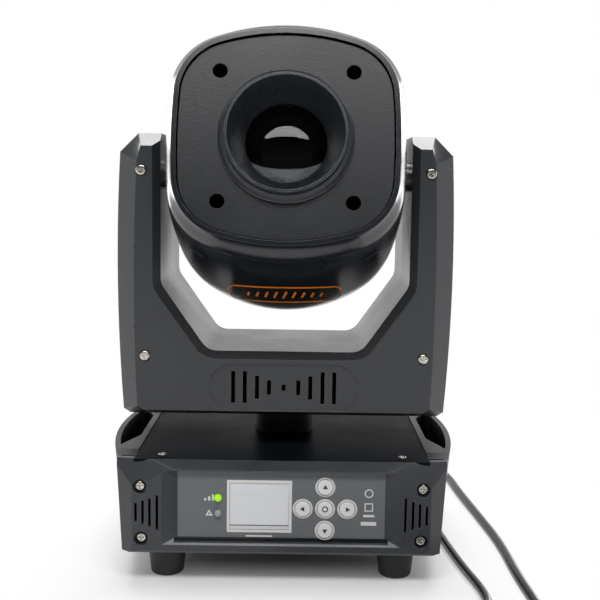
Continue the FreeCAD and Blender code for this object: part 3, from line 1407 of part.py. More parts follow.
def fan_housing():
    y0 = -FAN_FRONT
    frame = rounded_slab(-FAN_HALF, FAN_HALF, -FAN_HALF, FAN_HALF, y0, y0 + FAN_DEPTH, 4.0)
    frame = frame.cut(rod(FAN_R + 1.2, V(0, y0 - 1, 0), V(0, y0 + FAN_DEPTH + 1, 0)))
    spokes = []
    back = y0 + FAN_DEPTH
    for i in range(4):
        arm = box(-1.6, 1.6, back - 2.0, back, 0, FAN_R + 2)
        arm.rotate(V(0, 0, 0), V(0, 1, 0), 45 + 90 * i)
        spokes.append(arm)
    hub = rod(13.0, V(0, back - 3.0, 0), V(0, back, 0))
    pin_bore = rod(1.5 + RUN_FIT, V(0, back - 10, 0), V(0, back - 1, 0))
    return join([frame, hub] + spokes).cut(pin_bore)


def fan_rotor():
    y0 = -FAN_FRONT
    deep = FAN_DEPTH - 3.0 - GAP
    hub = rod(14.0, V(0, y0 + 1, 0), V(0, y0 + deep, 0))
    blades = []
    for i in range(7):
        blade = box(12, FAN_R + 4, -0.8, 0.8, -9, 9)
        blade.rotate(V(0, 0, 0), V(1, 0, 0), 48)
        blade.translate(V(0, y0 + 1 + deep / 2, 0))
        blade.rotate(V(0, 0, 0), V(0, 1, 0), 360 / 7 * i)
        blades.append(blade)
    reach = rod(FAN_R, V(0, y0 + 0.6, 0), V(0, y0 + deep, 0))
    wings = [b.common(reach) for b in blades]
    pin = rod(1.5, V(0, y0 + deep - 1, 0), V(0, y0 + FAN_DEPTH - 1.3, 0))
    return join([hub, pin] + wings)


CAP_THICK = 3.0
CAP_SCREW_X = 47.0
CAP_SCREW_Z = 46.0


def rear_grille():
    """Vented cap that closes the rear of the covers."""
    ahead, w, h, crown, side, corner = BODY_SECTIONS[-1]
    cap = slab(arc_outline(ahead, w - 0.2, h - 0.2, crown, side, corner), V(0, CAP_THICK, 0))
    y0 = -ahead
    tools = []
    for ring in range(4):
        r = 12.0 + 7.5 * ring
        band = tube(r + 2.4, r - 2.4, V(0, y0 - 1, 0), V(0, y0 + 4, 0))
        spokes = []
        for i in range(6):
            arm = box(-1.8, 1.8, y0 - 2, y0 + 5, 0, 60)
            arm.rotate(V(0, 0, 0), V(0, 1, 0), 60 * i)
            spokes.append(arm)
        tools.append(carve(band, spokes))
    for s in (-1, 1):
        for t in (-1, 1):
            hole = V(s * CAP_SCREW_X, y0 - 1, t * CAP_SCREW_Z)
            tools.append(rod(SCREW_HOLE_R, hole, hole + V(0, 6, 0)))
    return carve(cap, tools)


def head_screws():
    screws = []
    for s in (-1, 1):
        for t in (-1, 1):
            point = V(s * CAP_SCREW_X, HEAD_REAR + CAP_THICK, t * CAP_SCREW_Z)
            screws.append(pan_head_screw(point, V(0, -1, 0), 3.0, 1.4, SCREW_SHANK_R, CAP_THICK))
    return Part.makeCompound(screws)


# ---------------------------------------------------------------- build
def build():
    export("base_bottom_tray", bottom_tray())
    export("base_top_plate", top_plate())
    export("front_panel", front_panel())
    export("control_overlay", control_overlay())
    export("control_board", control_board())
    export("status_leds", status_leds())
    export("power_supply", power_supply())
    handle = side_handle()
    export("side_handle_right", handle)
    export("side_handle_left", mirror_x(handle))
    export("rear_panel", rear_panel())
    export("mains_inlet", mains_inlet())
    export("signal_sockets", signal_sockets())
    export("rubber_feet", rubber_feet())
    export("base_screws", base_screws())
    export("pan_spindle", pan_spindle())
    for name, (x, z) in key_places().items():
        export(name, key(x, z))
    export("mains_connector", mains_connector())
    export("mains_lead", cord_tube("mains lead", MAINS_ROUTE, MAINS_D))
    export("mains_lead_coil", cord_coil(MAINS_COIL, MAINS_D))
    export("mains_plug", mains_plug())
    export("signal_connector", signal_connector())
    export("signal_lead", cord_tube("signal lead", SIGNAL_ROUTE, SIGNAL_D))
    export("signal_lead_coil", cord_coil(SIGNAL_COIL, SIGNAL_D))
    export("signal_end_connector", signal_end_connector())
    export("yoke_frame", yoke_frame())
    export("yoke_front_shell", yoke_front_shell())
    export("yoke_rear_shell", yoke_rear_shell())
    export("yoke_screws", yoke_screws())
    export("yoke_motors", yoke_motors())
    export("yoke_bearings", yoke_bearings())
    export("pan_belt", pan_belt())
    export("tilt_belt", tilt_belt())
    export("pan_motor_pulley", pan_motor_pulley())
    export("tilt_motor_pulley", tilt_motor_pulley())
    head = {
        "head_bezel": head_bezel(), "head_upper_cover": head_cover(1),
        "head_lower_cover": head_cover(-1), "face_plate": face_plate(), "lens_hood": lens_hood(),
        "front_lens": front_lens(), "optics_chassis": optics_chassis(),
        "tilt_trunnions": tilt_trunnions(), "tilt_pulley": tilt_pulley(),
        "heatsink": heatsink(), "led_engine": led_engine(), "fan_housing": fan_housing(),
        "rear_grille": rear_grille(), "head_motors": head_motors(), "head_screws": head_screws(),
        "guide_rods": guide_rods(), "colour_wheel": wheel(COLOUR_AT, WHEEL_OFFSET, 8, 9.0),
        "pattern_wheel": wheel(PATTERN_AT, -WHEEL_OFFSET, 7, 10.0), "focus_carriage": focus_carriage(),
        "focus_lens": focus_lens(), "focus_pinion": focus_pinion(), "fan_rotor": fan_rotor(),
    }
    for name, shape in head.items():
        export(name, head_place(shape))


build()
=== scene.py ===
import math

import bmesh
import bpy
from mathutils import Matrix, Vector


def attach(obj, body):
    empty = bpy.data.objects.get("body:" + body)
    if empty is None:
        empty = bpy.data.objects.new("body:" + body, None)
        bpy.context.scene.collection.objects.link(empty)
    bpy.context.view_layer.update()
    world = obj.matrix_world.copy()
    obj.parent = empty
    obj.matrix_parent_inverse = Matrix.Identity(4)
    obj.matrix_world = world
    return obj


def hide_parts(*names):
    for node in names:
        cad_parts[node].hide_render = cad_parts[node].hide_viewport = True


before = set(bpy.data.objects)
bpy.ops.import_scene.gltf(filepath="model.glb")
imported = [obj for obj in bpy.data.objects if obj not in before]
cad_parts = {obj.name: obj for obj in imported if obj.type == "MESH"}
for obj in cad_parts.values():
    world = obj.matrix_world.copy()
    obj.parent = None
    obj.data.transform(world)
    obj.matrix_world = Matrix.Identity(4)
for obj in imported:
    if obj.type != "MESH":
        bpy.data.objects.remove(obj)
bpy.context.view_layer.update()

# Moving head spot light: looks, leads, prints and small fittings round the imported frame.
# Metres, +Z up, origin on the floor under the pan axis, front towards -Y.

MM = 0.001

# ---------------------------------------------------------------- sizes, in millimetres
MAINS_D = 7.4
SIGNAL_D = 6.4
MAINS_ROUTE = (
    (-16, 142, 54), (-15, 176, 53), (6, 216, 40), (45, 242, 21), (92, 238, 7), (130, 206, 3.7),
    (150, 158, 3.7), (153, 100, 3.7), (158.5, 40, 3.7), (164, -25, 3.7), (163.2, -90, 3.7),
    (166, -140, 3.7), (164, -178, 3.7),
)
SIGNAL_ROUTE = (
    (48, 144, 54), (48.5, 172, 52), (58, 204, 36), (85, 212, 16.5), (114, 190, 3.2),
    (122, 144, 3.2), (116, 96, 3.2), (117.5, 40, 3.2), (122, -15, 3.2), (128, -70, 3.2),
    (135.5, -114, 3.2), (134, -139, 3.2), (119, -157, 3.2), (96, -163, 3.2),
    (72, -161.5, 3.2), (50, -162.4, 3.2),
)
MAINS_COIL = Vector((119.6, -216.0, 0.0))
SIGNAL_COIL = Vector((28.0, -200.8, 0.0))
MAINS_TIE_AT = 60          # degrees round its coil
SIGNAL_TIE_AT = 315
COIL_SHARE = 11.0          # coil diameter in cord diameters, at the middle of its turns
COIL_STEPS = 15            # control points to a turn
COIL_SWEEP = 1170          # degrees, from where a lead arrives to where it leaves
MOVE_IN = (245, 325)       # degrees of sweep over which it crosses to the inner turn,
CLIMB = (545, 615)         # climbs on top,
MOVE_OUT = (825, 905)      # and crosses back out
TIE_STRAP = 0.7
TIE_WIDTH = 11.0
TIE_LIFT = 0.9             # how far a coil is raised by its tie
TIE_REACH = 30             # degrees either side of a tie over which the coil settles again
OVERLAY_Y = -96.5          # face of the control film
KEY_FACE_Y = -97.6
PRINT_THICK = 0.08         # ink and signs, standing on the face they are printed on
MARK_PROUD = 0.06          # a key's mark is sunk a little into the key
SCREEN = Vector((-14.9, 54.2))
SCREEN_HALF = Vector((20.0, 16.2))
SCREEN_LINE = 1.9          # printed line round the display
SCREEN_GLASS_Y = -95.85    # middle of the display glass
SCREEN_GLASS_THICK = 0.4
SCREEN_GLASS_GAP = 0.1
KEY_CENTRE = Vector((29.4, 53.1))
KEY_PITCH = 15.0
KEY_HOLE_R = 5.55
KEY_RING_R = 6.75
SIGN_COLUMN_X = 29.5       # from the middle of the keys to the signs at their right
LED_X = -42.7
LED_Z = (59.9, 49.3)
TILT_Z = 276.5
HEAD_TILT_UP = math.radians(15.0)
BASE_HALF_X = 110.0        # half footprint of the base, for the floor's painted shadow round it
BASE_HALF_Y = 100.0
CHIN_BADGE_Z = 193.5
CHIN_BADGE_HALF = 34.0     # middle of the badge to the centre of its round ends
CHIN_BADGE_R = 7.0
CHIN_BADGE_START_Y = -130.0    # ahead of the chin, from where the badge is pressed on


# ---------------------------------------------------------------- modelling by hand
def let_go():
    """Object mode, nothing selected."""
    if bpy.context.mode != "OBJECT":
        bpy.ops.object.mode_set(mode="OBJECT")
    bpy.ops.object.select_all(action="DESELECT")


def take(piece):
    let_go()
    piece.select_set(True)
    bpy.context.view_layer.objects.active = piece
    return piece


def open_mesh(piece):
    take(piece)
    bpy.ops.object.mode_set(mode="EDIT")
    bpy.ops.mesh.select_all(action="DESELECT")


def close_mesh():
    bpy.ops.object.mode_set(mode="OBJECT")


def pick_faces(piece, wanted):
    """Selects the faces whose centre and normal pass the test."""
    bpy.ops.mesh.select_mode(type="FACE")
    mesh = bmesh.from_edit_mesh(piece.data)
    for face in mesh.faces:
        face.select_set(wanted(face.calc_center_median(), face.normal))
    mesh.select_flush_mode()
    bmesh.update_edit_mesh(piece.data)


def pick_edges(piece, wanted):
    """Selects the edges whose middle and direction pass the test."""
    bpy.ops.mesh.select_mode(type="EDGE")
    mesh = bmesh.from_edit_mesh(piece.data)
    for edge in mesh.edges:
        a, b = (v.co for v in edge.verts)
        edge.select_set(wanted((a + b) / 2, (b - a).normalized()))
    mesh.select_flush_mode()
    bmesh.update_edit_mesh(piece.data)


def finish_modifier(piece, kind, **settings):
    take(piece)
    modifier = piece.modifiers.new(kind.title(), kind)
    for key, value in settings.items():
        setattr(modifier, key, value)
    bpy.ops.object.modifier_apply(modifier=modifier.name)


def lay_down(piece):
    """Puts the object's place, turn and scale into its mesh."""
    take(piece)
    bpy.ops.object.transform_apply(location=True, rotation=True, scale=True)
    return piece


def settle(piece, name, body, finish, angle=30):
    """Names a finished piece, gives it its material and lets it ride on its body."""
    lay_down(piece)
    bpy.ops.object.shade_smooth_by_angle(angle=math.radians(angle))
    piece.name = name
    piece.data.materials.clear()
    piece.data.materials.append(finish)
    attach(piece, body)
    return piece


# ---------------------------------------------------------------- node trees
def new_group(name, inputs, outputs):
    """A shader node group: inputs are (name, kind, default), outputs are (name, kind)."""
    group = bpy.data.node_groups.new(name, "ShaderNodeTree")
    for label, kind, default in inputs:
        socket = group.interface.new_socket(label, in_out="INPUT", socket_type=kind)
        socket.default_value = default
    for label, kind in outputs:
        group.interface.new_socket(label, in_out="OUTPUT", socket_type=kind)
    return group, group.nodes.new("NodeGroupInput"), group.nodes.new("NodeGroupOutput")


def add_math(tree, operation, first, second=None):
    """A math node fed by sockets or numbers; gives its output socket."""
    node = tree.nodes.new("ShaderNodeMath")
    node.operation = operation
    for place, value in enumerate((first, second)):
        if value is None:
            continue
        if isinstance(value, (int, float)):
            node.inputs[place].default_value = value
        else:
            tree.links.new(value, node.inputs[place])
    return node.outputs[0]


def add_mix(tree, factor, first, second):
    """A colour mix; each input is a socket or a value."""
    node = tree.nodes.new("ShaderNodeMix")
    node.data_type = "RGBA"
    for name, value in ((0, factor), (6, first), (7, second)):
        if isinstance(value, bpy.types.NodeSocket):
            tree.links.new(value, node.inputs[name])
        elif name == 0:
            node.inputs[name].default_value = value
        else:
            node.inputs[name].default_value = (*value, 1.0)
    return node.outputs[2]


def add_noise(tree, vector, scale, detail=2.0, roughness=0.5):
    node = tree.nodes.new("ShaderNodeTexNoise")
    tree.links.new(vector, node.inputs["Vector"])
    if isinstance(scale, (int, float)):
        node.inputs["Scale"].default_value = scale
    else:
        tree.links.new(scale, node.inputs["Scale"])
    node.inputs["Detail"].default_value = detail
    node.inputs["Roughness"].default_value = roughness
    return node.outputs["Fac"]


def add_range(tree, value, low, high, to_low, to_high):
    node = tree.nodes.new("ShaderNodeMapRange")
    tree.links.new(value, node.inputs["Value"])
    for name, x in (("From Min", low), ("From Max", high), ("To Min", to_low), ("To Max", to_high)):
        if isinstance(x, bpy.types.NodeSocket):
            tree.links.new(x, node.inputs[name])
        else:
            node.inputs[name].default_value = x
    return node.outputs["Result"]


def place_vector(tree):
    """Object coordinates, in metres."""
    return tree.nodes.new("ShaderNodeTexCoord").outputs["Object"]


def build_grain_group():
    """Fine leathery grain of a moulding: a height, and a slow mottling of its gloss."""
    group, inside, outside = new_group(
        "mould_grain",
        [("Size", "NodeSocketFloat", 900.0), ("Mottling", "NodeSocketFloat", 14.0)],
        [("Height", "NodeSocketFloat"), ("Mottle", "NodeSocketFloat")],
    )
    where = place_vector(group)
    pebbles = add_noise(group, where, inside.outputs["Size"], 3.0, 0.55)
    mottle = add_noise(group, where, inside.outputs["Mottling"], 4.0, 0.6)
    group.links.new(pebbles, outside.inputs["Height"])
    group.links.new(mottle, outside.inputs["Mottle"])
    return group


def build_wear_and_highlight_group():
    """Edges made lighter in patches, partly as wear and partly as a painted highlight, and a softened
    normal round them.
    """
    group, inside, outside = new_group(
        "edge_wear_and_highlight",
        [("Radius", "NodeSocketFloat", 0.0006), ("Patches", "NodeSocketFloat", 90.0)],
        [("Wear And Highlight", "NodeSocketFloat"), ("Soft Normal", "NodeSocketVector")],
    )
    bevel = group.nodes.new("ShaderNodeBevel")
    bevel.samples = 4
    group.links.new(inside.outputs["Radius"], bevel.inputs["Radius"])
    surface = group.nodes.new("ShaderNodeNewGeometry")
    turn = group.nodes.new("ShaderNodeVectorMath")
    turn.operation = "DOT_PRODUCT"
    group.links.new(bevel.outputs["Normal"], turn.inputs[0])
    group.links.new(surface.outputs["Normal"], turn.inputs[1])
    edge = add_range(group, turn.outputs["Value"], 0.995, 0.80, 0.0, 1.0)
    patches = add_noise(group, place_vector(group), inside.outputs["Patches"], 5.0, 0.65)
    patchiness = add_range(group, patches, 0.30, 0.58, 0.25, 1.0)
    group.links.new(add_math(group, "MULTIPLY", edge, patchiness), outside.inputs["Wear And Highlight"])
    group.links.new(bevel.outputs["Normal"], outside.inputs["Soft Normal"])
    return group


GRAIN = build_grain_group()
WEAR_AND_HIGHLIGHT = build_wear_and_highlight_group()


def put_group(tree, group, **values):
    node = tree.nodes.new("ShaderNodeGroup")
    node.node_tree = group
    for name, value in values.items():
        node.inputs[name].default_value = value
    return node


def linear(value):
    """A screen colour written as a hex number, as linear light."""
    steps = [(value >> shift & 255) / 255 for shift in (16, 8, 0)]
    return tuple(s / 12.92 if s <= 0.04045 else ((s + 0.055) / 1.055) ** 2.4 for s in steps)


def blank_material(name):
    material = bpy.data.materials.new(name)
    material.use_nodes = True
    tree = material.node_tree
    return material, tree, tree.nodes["Principled BSDF"]


def surface_finish(
    name, colour, shade, gloss, grain=900.0, depth=0.00003, metal=0.0, coat=0.0, coat_rough=0.08,
    wear_and_highlight_colour=None, edge_radius=0.0006, bump=0.35, specular=0.5,
):
    """Painted, moulded or plated: two tones, mottled gloss, grain, and edges lighter as wear and
    painted highlight.
    """
    material, tree, shader = blank_material(name)
    grain_node = put_group(tree, GRAIN, Size=grain)
    wear_and_highlight_node = put_group(tree, WEAR_AND_HIGHLIGHT, Radius=edge_radius)
    tone = add_mix(tree, grain_node.outputs["Mottle"], linear(shade), linear(colour))
    # Lighter edges: wear and a painted highlight along every edge.
    edge_colour = wear_and_highlight_colour if wear_and_highlight_colour is not None else colour
    tone = add_mix(tree, wear_and_highlight_node.outputs["Wear And Highlight"], tone, linear(edge_colour))
    rough = add_range(tree, grain_node.outputs["Mottle"], 0.3, 0.7, gloss[0], gloss[1])
    bump_node = tree.nodes.new("ShaderNodeBump")
    bump_node.inputs["Strength"].default_value = bump
    bump_node.inputs["Distance"].default_value = depth
    tree.links.new(grain_node.outputs["Height"], bump_node.inputs["Height"])
    tree.links.new(wear_and_highlight_node.outputs["Soft Normal"], bump_node.inputs["Normal"])
    tree.links.new(tone, shader.inputs["Base Color"])
    tree.links.new(rough, shader.inputs["Roughness"])
    tree.links.new(bump_node.outputs["Normal"], shader.inputs["Normal"])
    shader.inputs["Metallic"].default_value = metal
    shader.inputs["Coat Weight"].default_value = coat
    shader.inputs["Coat Roughness"].default_value = coat_rough
    shader.inputs["Specular IOR Level"].default_value = specular
    return material


# ---------------------------------------------------------------- materials
# Each wear-and-highlight colour below paints wear and an edge highlight together.
YOKE_BLACK = surface_finish(
    "yoke_charcoal", 0x383A3D, 0x2F3134, (0.22, 0.32), 1500, 0.00003, bump=0.4,
    wear_and_highlight_colour=0x606468,
)
HEAD_BLACK = surface_finish(
    "head_navy_black", 0x191D24, 0x12151B, (0.20, 0.30), 1700, 0.00002, coat=0.6, coat_rough=0.16,
    wear_and_highlight_colour=0x6E7278, edge_radius=0.0005,
)
FACE_BLACK = surface_finish(
    "face_grained_black", 0x1A1D21, 0x131619, (0.32, 0.42), 1000, 0.00011, bump=1.0,
    wear_and_highlight_colour=0x4A4D52,
)
HOOD_BLACK = surface_finish(
    "hood_satin_black", 0x2A2D31, 0x222529, (0.24, 0.32), 1500, 0.00002, wear_and_highlight_colour=0xA4A8AC,
    edge_radius=0.0007,
)
PANEL_GREY = surface_finish(
    "panel_charcoal", 0x383B3F, 0x303236, (0.24, 0.36), 1500, 0.00003, bump=0.4,
    wear_and_highlight_colour=0x74787C,
)
HANDLE_GREY = surface_finish(
    "handle_charcoal", 0x2B2D30, 0x232527, (0.30, 0.42), 1500, 0.00003, bump=0.4, specular=0.25,
    wear_and_highlight_colour=0x8A8D90,
)
SHEET_BLACK = surface_finish(
    "sheet_navy_black", 0x10141A, 0x0B0E13, (0.38, 0.50), 2200, 0.00001, specular=0.03,
)
FILM_GREY = surface_finish("control_film_grey", 0x707376, 0x696C6F, (0.42, 0.50), 2600, 0.00001)
KEY_WHITE = surface_finish("key_white", 0xF4F4F2, 0xEAEAE8, (0.30, 0.40), 2000, 0.00001)
BOARD_GREEN = surface_finish("circuit_board_green", 0x1F5A38, 0x184A2D, (0.35, 0.45), 1500, 0.00004)
BARE_STEEL = surface_finish(
    "zinc_plated_steel", 0xB4B6B8, 0x9C9EA0, (0.32, 0.44), 1200, 0.00002, metal=1.0,
)
NICKEL = surface_finish("screw_nickel", 0xD8D4CC, 0xA8A49C, (0.10, 0.20), 2400, 0.00001, metal=1.0)
RUBBER = surface_finish("foot_rubber", 0x232629, 0x1B1E20, (0.50, 0.62), 1300, 0.00005, bump=0.5)
BELT = surface_finish("belt_rubber", 0x242424, 0x1C1C1C, (0.60, 0.72), 1300, 0.00005)
CONNECTOR = surface_finish("connector_black", 0x222426, 0x1A1C1E, (0.40, 0.50), 1600, 0.00004)
CONNECTOR_METAL = surface_finish(
    "connector_satin_nickel", 0xA8A8A6, 0x8E8E8C, (0.28, 0.38), 1800, 0.00002, metal=1.0,
)
MOTOR = surface_finish(
    "motor_black_paint", 0x101113, 0x0A0B0C, (0.45, 0.55), 1300, 0.00003, specular=0.15,
)
ALLOY = surface_finish("bare_alloy", 0xB9BBBE, 0xA3A5A8, (0.30, 0.42), 1300, 0.00003, metal=1.0)
PRINT_WHITE = surface_finish("print_white", 0xF2F2F0, 0xE8E8E6, (0.45, 0.55), 2600, 0.00001)
PRINT_DARK = surface_finish("print_dark", 0x3A3B3D, 0x303133, (0.45, 0.55), 2600, 0.00001)
PRINT_ORANGE = surface_finish("print_orange", 0xFF8E14, 0xF07E08, (0.30, 0.40), 2600, 0.00001)
TIE = surface_finish("tie_fabric", 0x1C1C1E, 0x141416, (0.80, 0.92), 2600, 0.0001, bump=0.9)


def lens_finish():
    """Coated glass, dark because what lies behind it is dark."""
    material, tree, shader = blank_material("coated_lens_glass")
    smears = add_noise(tree, place_vector(tree), 60.0, 5.0, 0.6)
    rough = add_range(tree, smears, 0.4, 0.7, 0.0, 0.035)
    tree.links.new(rough, shader.inputs["Roughness"])
    tint = add_mix(tree, smears, linear(0x8C949A), linear(0xA0A6AA))
    tree.links.new(tint, shader.inputs["Base Color"])
    shader.inputs["Transmission Weight"].default_value = 1.0
    shader.inputs["IOR"].default_value = 1.38
    return material


def filter_finish(name, axis_z, ahead):
    """Dichroic filters round a wheel, one colour for each opening, on a dark metal disc, the colours
    painted dark as shade inside the head.
    """
    material, tree, shader = blank_material(name)
    mapping = tree.nodes.new("ShaderNodeMapping")
    mapping.vector_type = "TEXTURE"
    where = head_axis_point(ahead, axis_z)
    mapping.inputs["Location"].default_value = where
    mapping.inputs["Rotation"].default_value = (math.radians(90) - HEAD_TILT_UP, 0, 0)
    tree.links.new(place_vector(tree), mapping.inputs["Vector"])
    spokes = tree.nodes.new("ShaderNodeTexGradient")
    spokes.gradient_type = "RADIAL"
    tree.links.new(mapping.outputs["Vector"], spokes.inputs["Vector"])
    ramp = tree.nodes.new("ShaderNodeValToRGB")
    ramp.color_ramp.interpolation = "CONSTANT"
    # Filter colours painted dark, as shade inside the head.
    hues = (0x3A1614, 0x3E3012, 0x16301C, 0x142A5C, 0x2A1638, 0x163A42, 0x3C1C2C, 0x3C3E3E)
    while len(ramp.color_ramp.elements) < len(hues):
        ramp.color_ramp.elements.new(0.5)
    for place, (element, hue) in enumerate(zip(ramp.color_ramp.elements, hues)):
        element.position = place / len(hues)
        element.color = (*linear(hue), 1.0)
    tree.links.new(spokes.outputs["Fac"], ramp.inputs["Fac"])
    marks = add_noise(tree, place_vector(tree), 300.0, 4.0, 0.6)
    haze = add_range(tree, marks, 0.2, 0.8, 0.0, 0.25)
    tone = add_mix(tree, haze, ramp.outputs["Color"], (0.3, 0.3, 0.3))
    tree.links.new(tone, shader.inputs["Base Color"])
    tree.links.new(add_range(tree, marks, 0.3, 0.7, 0.18, 0.32), shader.inputs["Roughness"])
    shader.inputs["Metallic"].default_value = 0.6
    return material


def head_axis_point(ahead, up):
    """A point ahead along and up from the head's optical axis, in metres in the frame."""
    c, s = math.cos(HEAD_TILT_UP), math.sin(HEAD_TILT_UP)
    y = -ahead * c + up * s
    z = ahead * s + up * c
    return (0.0, y * MM, (TILT_Z + z) * MM)


def indicator_finish():
    """Upper lamp lit yellow-green, lower one clear and unlit."""
    material, tree, shader = blank_material("indicator_lamps")
    parts = tree.nodes.new("ShaderNodeSeparateXYZ")
    tree.links.new(place_vector(tree), parts.inputs[0])
    upper = add_math(tree, "GREATER_THAN", parts.outputs["Z"], sum(LED_Z) / 2 * MM)
    frost = add_noise(tree, place_vector(tree), 900.0, 3.0, 0.5)
    clear = add_mix(tree, frost, linear(0x8FA09E), linear(0xA8B6B4))
    lit = add_mix(tree, frost, linear(0x8CD018), linear(0xA8E020))
    tree.links.new(add_mix(tree, upper, clear, lit), shader.inputs["Base Color"])
    glow = add_mix(tree, upper, (0, 0, 0), linear(0x9AE010))
    tree.links.new(glow, shader.inputs["Emission Color"])
    shader.inputs["Emission Strength"].default_value = 0.55
    tree.links.new(add_range(tree, frost, 0.3, 0.7, 0.10, 0.25), shader.inputs["Roughness"])
    return material


def screen_finish():
    """Unlit display: pale grey, a little darker to the left, with a grey line near the bottom."""
    material, tree, shader = blank_material("display_pale_grey")
    parts = tree.nodes.new("ShaderNodeSeparateXYZ")
    tree.links.new(place_vector(tree), parts.inputs[0])
    low = (SCREEN.y - SCREEN_HALF.y) * MM
    high = (SCREEN.y + SCREEN_HALF.y) * MM
    left = (SCREEN.x - SCREEN_HALF.x) * MM
    right = (SCREEN.x + SCREEN_HALF.x) * MM
    across = add_range(tree, parts.outputs["X"], left, right, 0.0, 1.0)
    up = add_range(tree, parts.outputs["Z"], low, high, 0.0, 1.0)
    cloud = add_noise(tree, place_vector(tree), 45.0, 2.0, 0.5)
    share = add_math(tree, "ADD", add_math(tree, "MULTIPLY", across, 0.6),
                     add_math(tree, "MULTIPLY", cloud, 0.4))
    tone = add_mix(tree, share, linear(0xE6E8EC), linear(0xF4F5F6))
    edge = add_range(tree, up, 0.085, 0.075, 0.0, 1.0)
    tone = add_mix(tree, edge, tone, linear(0xE2E3E4))
    line = add_math(tree, "MULTIPLY", add_math(tree, "GREATER_THAN", up, 0.075),
                    add_math(tree, "LESS_THAN", up, 0.10))
    tone = add_mix(tree, line, tone, linear(0x6A6C70))
    tree.links.new(tone, shader.inputs["Base Color"])
    tree.links.new(add_range(tree, cloud, 0.3, 0.7, 0.10, 0.2), shader.inputs["Roughness"])
    shader.inputs["Coat Weight"].default_value = 0.4
    return material


CORD = surface_finish("cord_gloss_black", 0x1A1B1D, 0x121315, (0.24, 0.34), 700, 0.00004, coat=0.2)
GLASS = lens_finish()
FILTERS = filter_finish("colour_filters", -33.0, 10.0)
PATTERNS = filter_finish("pattern_discs", 33.0, 2.0)
INDICATOR = indicator_finish()
DISPLAY = screen_finish()

NODE_FINISH = {
    YOKE_BLACK: ("yoke_front_shell", "yoke_rear_shell"),
    HEAD_BLACK: ("head_bezel", "head_upper_cover", "head_lower_cover", "rear_grille"),
    FACE_BLACK: ("face_plate",),
    HOOD_BLACK: ("lens_hood",),
    PANEL_GREY: ("front_panel", "rear_panel"),
    HANDLE_GREY: ("side_handle_left", "side_handle_right"),
    SHEET_BLACK: ("base_bottom_tray", "base_top_plate", "optics_chassis"),
    FILM_GREY: ("control_overlay",),
    KEY_WHITE: ("key_up", "key_down", "key_left", "key_right", "key_enter"),
    BOARD_GREEN: ("control_board", "led_engine"),
    BARE_STEEL: ("power_supply", "yoke_frame", "yoke_bearings", "guide_rods"),
    NICKEL: ("base_screws", "yoke_screws", "head_screws"),
    RUBBER: ("rubber_feet",),
    BELT: ("pan_belt", "tilt_belt"),
    CONNECTOR: ("mains_connector", "mains_inlet", "mains_plug", "fan_housing", "fan_rotor",
                "focus_carriage"),
    CONNECTOR_METAL: ("signal_connector", "signal_end_connector", "signal_sockets"),
    # The pan spindle takes the motors' black as painted shade for the dark gap under the yoke.
    MOTOR: ("yoke_motors", "head_motors", "pan_spindle"),
    ALLOY: ("pan_motor_pulley", "tilt_motor_pulley", "tilt_pulley", "tilt_trunnions", "heatsink",
            "focus_pinion"),
    GLASS: ("front_lens", "focus_lens"),
    FILTERS: ("colour_wheel",),
    PATTERNS: ("pattern_wheel",),
    INDICATOR: ("status_leds",),
    CORD: ("mains_lead", "mains_lead_coil", "signal_lead", "signal_lead_coil"),
}


def dress_frame():
    for finish, names in NODE_FINISH.items():
        for name in names:
            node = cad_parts[name]
            for slot in node.material_slots:
                slot.material = finish


# ---------------------------------------------------------------- camera, floor and light: metres
CAMERA_PLACE = (0.0086, -0.740, 0.2681)
CAMERA_TURN = (6.52, 0.17, 0.83)    # pitch, yaw and roll in degrees
CAMERA_LENS = 59.1         # mm, for a sensor 36 mm wide
FLOOR_FADE = (-0.05, 0.08)          # past the base's edge: from floor lit by the lamps alone, a painted shadow, to plain white


def place_camera():
    """Level with the head, looking slightly down and a touch to the right."""
    pitch, yaw, roll = (math.radians(angle) for angle in CAMERA_TURN)
    ahead = Vector((math.sin(yaw) * math.cos(pitch), math.cos(yaw) * math.cos(pitch),
                    -math.sin(pitch)))
    level = Vector((math.cos(yaw), -math.sin(yaw), 0))
    above = level.cross(ahead)
    right = math.cos(roll) * level + math.sin(roll) * above
    up = -math.sin(roll) * level + math.cos(roll) * above
    data = bpy.data.cameras.new("camera")
    data.sensor_width = 36.0
    data.lens = CAMERA_LENS
    camera = bpy.data.objects.new("camera", data)
    bpy.context.scene.collection.objects.link(camera)
    turn = Matrix((right, up, -ahead)).transposed()
    camera.matrix_world = Matrix.Translation(CAMERA_PLACE) @ turn.to_4x4()
    bpy.context.scene.camera = camera


def seen_directly(tree):
    """1 for what the eye sees, mirrored or through glass too; 0 for light that falls on something."""
    path = tree.nodes.new("ShaderNodeLightPath")
    seen = add_math(tree, "MAXIMUM", path.outputs["Is Camera Ray"], path.outputs["Is Glossy Ray"])
    return add_math(tree, "MAXIMUM", seen, path.outputs["Is Transmission Ray"])


